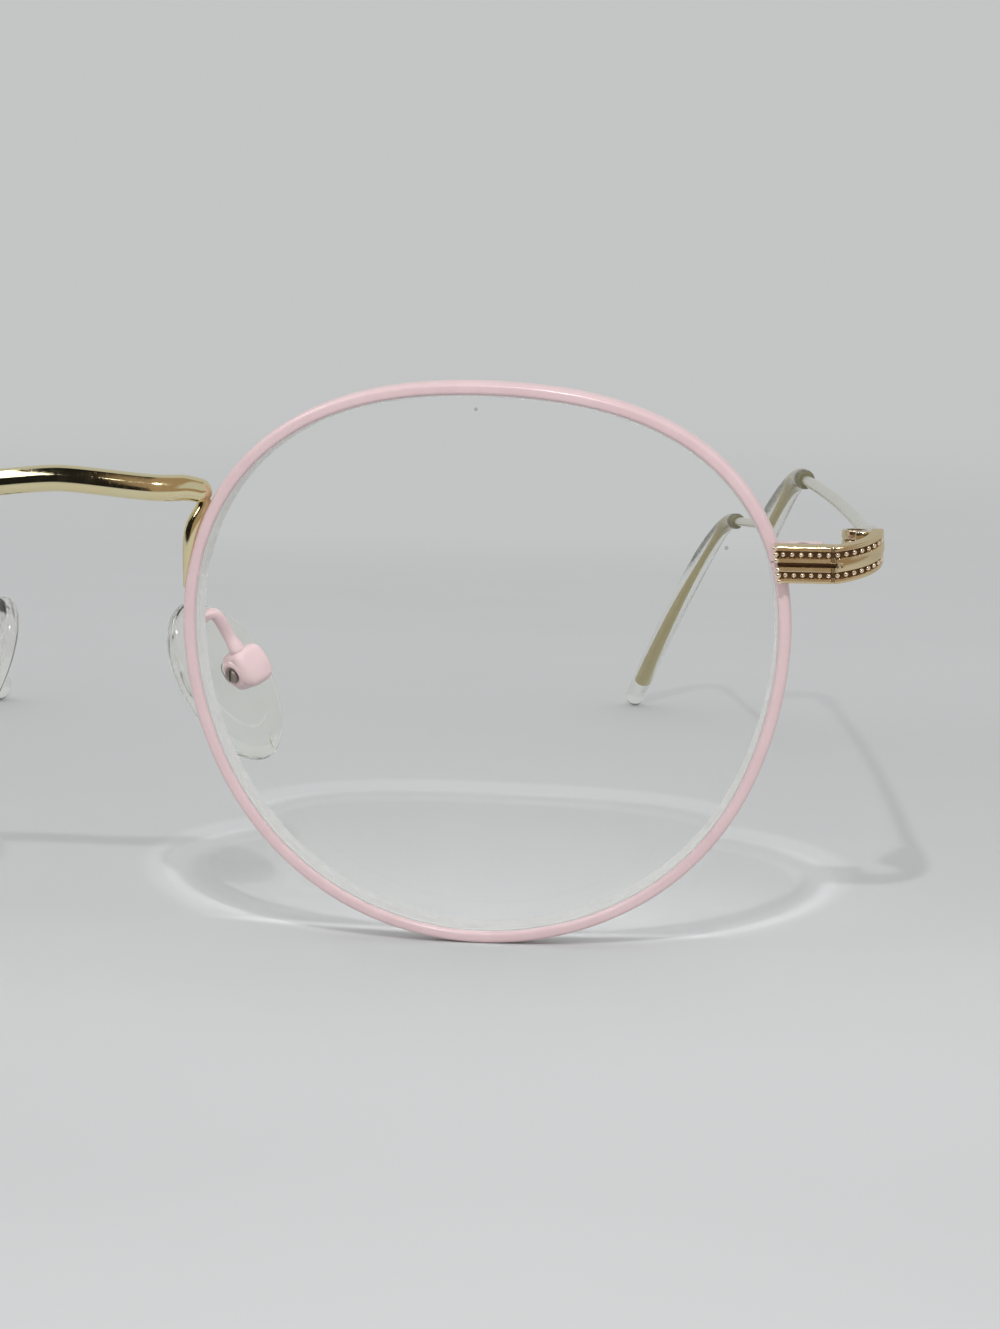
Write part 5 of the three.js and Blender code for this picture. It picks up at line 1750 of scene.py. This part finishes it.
    def build_arm(self) -> Form:
        """The arm: a flat paddle at the hinge that thins to a wire, which runs on inside the sleeve."""
        end = self.endpiece
        across = end.back_line.cross(Z).normalized()
        wire_start = self.arm_route.at(0)
        rings = []
        paddle_end = self.paddle_length - end.butt_gap / 2
        stretch = paddle_end + self.taper_length
        for walked in [0, 0.05, self.paddle_edge, *evenly(0.2, stretch, 70)]:
            thinning = ease(paddle_end - 0.5, stretch, walked)
            edge = self.paddle_edge - min(self.paddle_edge, walked)
            at = end.beside_butt(end.butt_gap / 2 + walked)
            at.z = mix(at.z, wire_start.z, thinning)
            section = rounded_section(self.sides, mix(self.paddle_squareness, 2, thinning))
            width = mix(end.thickness / 2, self.wire_radius, thinning) - edge
            height = mix(end.rear_height / 2, self.wire_radius, thinning) - edge
            rings.append(ring_at(section, at, across, Z, width, height))
        thin = rounded_section(self.sides, 2)

        def even(_: float) -> Pair:
            """The wire's even half width and half height."""
            return self.wire_radius, self.wire_radius

        rings += self.rings(self.arm_route, thin, evenly(0.01, 1, 110)[:-1], even)
        open_corners = len(rings) * self.sides
        rings += self.rings(self.tip_route, thin, evenly(0, self.core_end, 90), self.core_size)
        # Painted shade: the wire inside the sleeve is marked to take the darker colour of its finish.
        marks = [0.0] * open_corners
        marks += [self.core_painted_shade] * (len(rings) * self.sides - open_corners)
        return Form.loft(rings, marks=marks)

    def dress(self, bench: Bench, side: Side) -> None:
        """Seats the arm and its sleeve."""
        body = f"temple_{side.label}"
        bench.seat(self.build_arm(), "temple_arm", side, body, WIRE_GOLD_PAINTED_SHEEN)
        tip = bench.seat(self.build_tip(), "temple_tip", side, body, TIP_PLASTIC)
        # The mouth gets painted shade.
        bench.trim(tip, TIP_MOUTH_PAINTED_SHADE)


@dataclass(frozen=True)
class Lamp:
    """A soft lamp: its place and target in metres, its size and its power in watts."""

    name: str
    place: Place
    target: Place
    size: Pair
    watts: float
    lights_floor: bool = True

    def hang(self) -> None:
        """Makes the lamp, which the camera doesn't see, or a bright card for metal to mirror."""
        light = bpy.data.lights.new(self.name, "AREA")
        light.shape = "RECTANGLE"
        light.size, light.size_y = self.size
        light.energy = self.watts
        thing = new_object(self.name, light)
        back = (Vector(self.place) - Vector(self.target)).normalized()
        across = Y.cross(back).normalized()
        turned = Matrix((across, back.cross(across), back)).transposed()
        thing.matrix_world = Matrix.Translation(self.place) @ turned.to_4x4()
        thing.visible_camera = False
        thing.visible_transmission = False
        thing.visible_diffuse = self.lights_floor


@dataclass(frozen=True)
class PaintedLensLight:
    """The key lamp's light on the floor as the two lenses spread it, traced through both faces, to be painted
    into the floor's colour as light and shade.
    """

    eyewire: Eyewire
    settle: Vector
    lamp: Vector
    index: float = 1.4
    passed: float = 0.95
    straight: float = 0.89
    beside_rim: float = 0.4
    cell: float = 0.5
    low: Pair = (-120.0, -75.0)
    high: Pair = (95.0, 35.0)
    turns: int = 1440
    shares: int = 600
    blur: tuple[float, ...] = (1 / 16, 4 / 16, 6 / 16, 4 / 16, 1 / 16)

    @cached_property
    def lines(self) -> list[np.ndarray]:
        """The edges of the floor's cells, across and along."""
        return [np.arange(low, high + self.cell / 2, self.cell) for low, high in zip(self.low, self.high)]

    @cached_property
    def middles(self) -> list[np.ndarray]:
        """The middles of the floor's cells, across and along."""
        return [line[:-1] + self.cell / 2 for line in self.lines]

    @staticmethod
    def bent(rays: np.ndarray, normals: np.ndarray, ratio: float) -> np.ndarray:
        """Rays past a face whose normals point against them, by the ratio of the two indices."""
        facing = -np.sum(rays * normals, axis=1, keepdims=True)
        onward = np.sqrt(np.maximum(0, 1 - ratio ** 2 * (1 - facing ** 2)))
        return ratio * rays + (ratio * facing - onward) * normals

    def gathered(self, starts: np.ndarray, rays: np.ndarray, flux: np.ndarray, side: Side) -> np.ndarray:
        """The light that rays bring to each floor cell.

        Args:
            starts: Where the rays start, on the table.
            rays: Their directions.
            flux: The light that each carries.
            side: The wearer's side, where RIGHT mirrors the rays.

        Returns:
            The light in each cell, softened as by the lamp's size.
        """
        places = starts - rays * (starts[:, 2] / rays[:, 2])[:, None]
        cells = np.histogram2d(places[:, 0] * side.value, places[:, 1], bins=self.lines, weights=flux)[0]
        for axis in (0, 1):
            cells = np.apply_along_axis(np.convolve, axis, cells, self.blur, mode="same")
        return cells

    def through_lens(self, side: Side) -> np.ndarray:
        """The light that one lens adds to the floor's cells, below 0 where it takes light away."""
        lamp = np.array(self.lamp) * (side.value, 1, 1)
        eyewire, front = self.eyewire, self.eyewire.front
        turn, settle = np.array(Matrix.Rotation(front.tilt, 3, "X")), np.array(self.settle)
        edge = np.array([front.outline.offset(math.tau * i / self.turns, -front.groove_lip)
                         for i in range(self.turns)])
        step = np.roll(edge, -1, axis=0) - edge
        sweep = np.abs(edge[:, 0] * step[:, 1] - edge[:, 1] * step[:, 0])
        shares = (np.arange(self.shares) + 0.5) / self.shares
        area = np.outer(sweep, shares / self.shares).ravel()
        flat = (edge[:, None, :] * shares[None, :, None]).reshape(-1, 2)
        fall = eyewire.front_radius - np.sqrt(eyewire.front_radius ** 2 - np.sum(flat ** 2, axis=1))
        entry = np.column_stack((front.lens_x + flat[:, 0], eyewire.lens_front + fall, flat[:, 1]))
        rays = entry - (lamp - settle) @ turn
        distance = np.linalg.norm(rays, axis=1, keepdims=True)
        rays /= distance
        flux = area * np.abs(rays[:, 1]) / distance[:, 0] ** 2
        pole = np.array((front.lens_x, eyewire.lens_front, 0.0))
        front_middle = pole + (0, eyewire.front_radius, 0)
        back_middle = pole + (0, eyewire.centre_thickness + eyewire.back_radius, 0)
        inside = self.bent(rays, (entry - front_middle) / eyewire.front_radius, 1 / self.index)
        offset = entry - back_middle
        along = np.sum(offset * inside, axis=1)
        beyond = along ** 2 - np.sum(offset ** 2, axis=1) + eyewire.back_radius ** 2
        leave = entry + inside * (-along - np.sqrt(beyond))[:, None]
        after = self.bent(inside, (leave - back_middle) / eyewire.back_radius, self.index)
        spread = self.gathered(leave @ turn.T + settle, after @ turn.T, flux, side)
        plain = self.gathered(entry @ turn.T + settle, rays @ turn.T, flux, side)
        return self.passed * spread - self.straight * plain

    def rim_shadow(self, side: Side) -> np.ndarray:
        """How far each floor cell lies in the shadow of one rim, which the lens's edge lights a little."""
        lamp, front = np.array(self.lamp) * (side.value, 1, 1), self.eyewire.front
        rows = [front.at(front.outline.offset(math.tau * i / self.turns, out), back)
                for i in range(self.turns) for out in evenly(-front.groove_lip, front.rim_outside, 5)
                for back in evenly(-front.rim_depth / 2, front.rim_depth / 2, 9)]
        points = np.array(rows) @ np.array(Matrix.Rotation(front.tilt, 3, "X")).T + np.array(self.settle)
        stopped = self.gathered(points, points - lamp, np.ones(len(points)), side)
        return np.minimum(stopped, 1.0)

    @cached_property
    def spread(self) -> np.ndarray:
        """What both lenses add to each cell, as a share of the lamp's plain light there."""
        across, back = np.meshgrid(*self.middles, indexing="ij")
        far = np.sqrt((across - self.lamp.x) ** 2 + (back - self.lamp.y) ** 2 + self.lamp.z ** 2)
        added = sum(self.through_lens(side) for side in Side) * far ** 3 / (self.lamp.z * self.cell ** 2)
        # Painted light: a share of each rim's shadow is filled back in.
        return added + self.beside_rim * sum(self.rim_shadow(side) for side in Side)


@dataclass(frozen=True)
class Studio:
    """A pale paper floor, a pale surround with a dark opening in front, soft lamps and the camera."""

    paper: Colour = (0.575, 0.587, 0.59)
    backdrop: Colour = (0.545, 0.562, 0.558)
    surround: float = 0.84
    dark: float = 0.012
    warm_side: Colour = (0.36, 0.27, 0.19)
    opening_lean: float = 0.25
    opening_low: Pair = (-0.06, 0.06)
    opening_side: Pair = (0.5, 0.62)
    warm_from: Pair = (-0.06, 0.02)
    warm_floor: Pair = (0.0, 0.015)
    paper_drift: float = 0.97
    paper_edge: float = 0.02
    floor_half: float = 3.0
    lamp_share: float = 0.15
    fade_from: float = 0.22
    fade_to: float = 0.75
    paper_front: float = -0.128
    # Painted light: the paper is brighter or darker by depth, standing for how the lamps fall off.
    painted_floor_light: tuple[tuple[float, ...], ...] = (
        (-0.075, -0.02, 1.02, 0.98),
        (-0.14, -0.085, 0.9, 1.0),
        (0.0, 0.16, 1.0, 1.07),
    )
    camera_place: Place = (0.06736, -0.32377, 0.05914)
    camera_yaw: float = math.radians(6.77)
    camera_pitch: float = math.radians(7.6)
    camera_roll: float = math.radians(0.5)
    focal_pixels: float = 3118.3
    image_height: int = 1329
    sensor: float = 36.0
    lamps: tuple[Lamp, ...] = (
        Lamp("key_lamp", (0.049, -0.226, 0.171), (0.035, -0.06, 0.02), (0.005, 0.005), 0.165),
        Lamp("near_bar", (0.034, -0.226, 0.171), (0.034, -0.06, 0.02), (0.026, 0.007), 0.003, False),
        Lamp("small_lamp", (0.0, -0.226, 0.171), (0.0, -0.06, 0.02), (0.007, 0.007), 0.0015, False),
        Lamp("left_bar", (-0.11, -0.155, 0.19), (-0.11, -0.155, 0), (0.07, 0.277), 0.2, False),
    )

    def camera(self) -> None:
        """Sets the camera at the photograph's place and angle."""
        yaw, pitch, roll = self.camera_yaw, self.camera_pitch, self.camera_roll
        level = Vector((-math.sin(yaw), math.cos(yaw), 0))
        forward = level * math.cos(pitch) - Z * math.sin(pitch)
        level_right = forward.cross(Z).normalized()
        level_up = level_right.cross(forward)
        right = level_right * math.cos(roll) + level_up * math.sin(roll)
        up = level_up * math.cos(roll) - level_right * math.sin(roll)
        lens = bpy.data.cameras.new("camera")
        lens.sensor_width = self.sensor
        lens.lens = self.focal_pixels * self.sensor / self.image_height
        lens.clip_start, lens.clip_end = 0.01, 20
        thing = new_object("camera", lens)
        turned = Matrix((right, up, -forward)).transposed()
        thing.matrix_world = Matrix.Translation(self.camera_place) @ turned.to_4x4()
        bpy.context.scene.camera = thing

    @staticmethod
    def reflected(wiring: Wiring) -> Socket:
        """1 for a ray that polished metal sends on and that has passed through no clear piece."""
        path = wiring.add("ShaderNodeLightPath").outputs
        outside = wiring.math("LESS_THAN", path["Transmission Depth"], 0.5)
        return wiring.math("MULTIPLY", path["Is Glossy Ray"], outside)

    def shade(self, wiring: Wiring, warmth: Socket) -> Socket:
        """The colour of the opening in front: dark, and warm where the warmth is 1."""
        return wiring.blend(warmth, opaque((self.dark,) * 3), opaque(self.warm_side))

    def world(self) -> None:
        """A pale surround with a dark opening in front. The camera itself sees the plain backdrop."""
        world = bpy.data.worlds.new("surround")
        bpy.context.scene.world = world
        world.use_nodes = True
        wiring = Wiring(world.node_tree)
        toward = wiring.add("ShaderNodeTexCoord").outputs["Generated"]
        parts = wiring.add("ShaderNodeSeparateXYZ", {0: toward}).outputs
        forward = wiring.math("MULTIPLY", parts[1], -1.0)
        lean = wiring.math("MULTIPLY_ADD", parts[2], self.opening_lean, forward)
        ahead = wiring.remap(lean, *self.opening_low, 0.0, 1.0)
        between = wiring.remap(parts[0], *self.opening_side, 1.0, 0.0)
        shade = self.shade(wiring, wiring.remap(parts[0], *self.warm_from, 0.0, 1.0))
        path = wiring.add("ShaderNodeLightPath").outputs
        through = wiring.math("MAXIMUM", path["Is Glossy Ray"], path["Is Transmission Ray"])
        opening = wiring.math("MULTIPLY", wiring.math("MULTIPLY", ahead, between), self.reflected(wiring))
        shown = wiring.add("ShaderNodeBackground",
                           {"Color": wiring.blend(opening, opaque(self.backdrop), shade)})
        lit = wiring.add("ShaderNodeBackground", {"Color": (1.0, 1.0, 1.0, 1.0), "Strength": self.surround})
        seen = wiring.math("MAXIMUM", path["Is Camera Ray"], through)
        both = wiring.add("ShaderNodeMixShader", {0: seen, 1: lit.outputs[0], 2: shown.outputs[0]})
        wiring.add("ShaderNodeOutputWorld", {"Surface": both.outputs[0]})

    def floor_mesh(self, light: PaintedLensLight) -> bpy.types.Mesh:
        """A wide flat floor whose corners hold the lenses' light and shade, which is painted into its colour.

        Args:
            light: The lenses' light.

        Returns:
            The mesh.
        """
        across, back = ([-self.floor_half, *(line * MM), self.floor_half] for line in light.middles)
        row = len(back)
        mesh = bpy.data.meshes.new("floor")
        mesh.from_pydata([(x, y, 0) for x in across for y in back], [],
                         [(i * row + j, (i + 1) * row + j, (i + 1) * row + j + 1, i * row + j + 1)
                          for i in range(len(across) - 1) for j in range(row - 1)])
        spread = mesh.attributes.new("painted_lens_light", "FLOAT", "POINT")
        spread.data.foreach_set("value", np.pad(light.spread, 1).ravel())
        return mesh

    def floor(self, light: PaintedLensLight) -> None:
        """A wide paper floor that fades into the backdrop, with the lenses' light and shade and the lamps'
        fall-off painted into its colour; mirrored rays see it as the dark opening before its front edge.
        """
        mesh = self.floor_mesh(light)
        paint = bpy.data.materials.new("paper")
        paint.use_nodes = True
        wiring = Wiring(paint.node_tree)
        place = wiring.add("ShaderNodeTexCoord").outputs["Object"]
        away = wiring.add("ShaderNodeVectorMath", {0: place}, operation="LENGTH").outputs["Value"]
        fade = wiring.remap(away, self.fade_from, self.fade_to, 0.0, 1.0)
        tone = wiring.group(EFFECTS.tone, vector=place, scale=14.0, colour=opaque(self.paper),
                            drift_colour=opaque(scaled(self.paper, self.paper_drift)), amount=0.6)
        across, depth = wiring.add("ShaderNodeSeparateXYZ", {0: place}).outputs[:2]
        # Painted light and shade: the lenses' light and the rims' filled shadows scale the paper's colour,
        # and so do the depth levels below.
        painted_lens_light = wiring.add("ShaderNodeAttribute", attribute_name="painted_lens_light").outputs["Fac"]
        level = wiring.math("MULTIPLY_ADD", painted_lens_light, self.lamp_share, 1.0)
        for near_y, far_y, near_level, far_level in self.painted_floor_light:
            level = wiring.math("MULTIPLY", level, wiring.remap(depth, near_y, far_y, near_level, far_level))
        lit = wiring.add("ShaderNodeVectorMath", {0: tone.outputs["Colour"], "Scale": level},
                         operation="SCALE")
        paper = wiring.add("ShaderNodeBsdfDiffuse", {"Color": lit.outputs[0]})
        plain = wiring.add("ShaderNodeEmission", {"Color": opaque(self.backdrop)})
        near = wiring.add("ShaderNodeMixShader", {0: fade, 1: paper.outputs[0], 2: plain.outputs[0]})
        before = wiring.remap(depth, self.paper_front, self.paper_front - self.paper_edge, 0.0, 1.0)
        hidden = wiring.math("MULTIPLY", before, self.reflected(wiring))
        dark = wiring.add("ShaderNodeEmission",
                          {"Color": self.shade(wiring, wiring.remap(across, *self.warm_floor, 0.0, 1.0))})
        shown = wiring.add("ShaderNodeMixShader", {0: hidden, 1: near.outputs[0], 2: dark.outputs[0]})
        wiring.add("ShaderNodeOutputMaterial", {"Surface": shown.outputs[0]})
        mesh.materials.append(paint)
        new_object("floor", mesh)

    def build(self, eyewire: Eyewire, bench: Bench) -> None:
        """Sets up the camera, the surround, the lamps and the floor, with the light through the lenses
        painted on it.
        """
        bpy.context.scene.view_settings.view_transform = "Standard"
        self.camera()
        self.world()
        for lamp in self.lamps:
            lamp.hang()
        self.floor(PaintedLensLight(eyewire, bench.settle, Vector(self.lamps[0].place) / MM))


def joint_place(name: str) -> Vector:
    """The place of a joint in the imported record, in millimetres."""
    joint = next(joint for joint in frame["joints"] if joint["name"] == name)
    return Vector(joint["pos_m"]) / MM


def main() -> None:
    """Builds the studio and every piece, in order."""
    logging.basicConfig(level=logging.INFO, format="%(message)s")
    front = Front()
    eyewire = Eyewire(front)
    endpiece = Endpiece(front)
    hinge = Hinge(endpiece)
    bench = Bench(joint_place("temple_left_fold") - hinge.axis)
    temple = Temple(endpiece, table=-bench.settle.z)
    Studio().build(eyewire, bench)
    Bridge(front).dress(bench)
    for side in Side:
        eyewire.dress(bench, side)
        NosePad(front, eyewire).dress(bench, side)
        ClosingBlock(front).dress(bench, side)
        endpiece.dress(bench, side)
        hinge.dress(bench, side)
        temple.dress(bench, side)


if __name__ == "__main__":
    main()
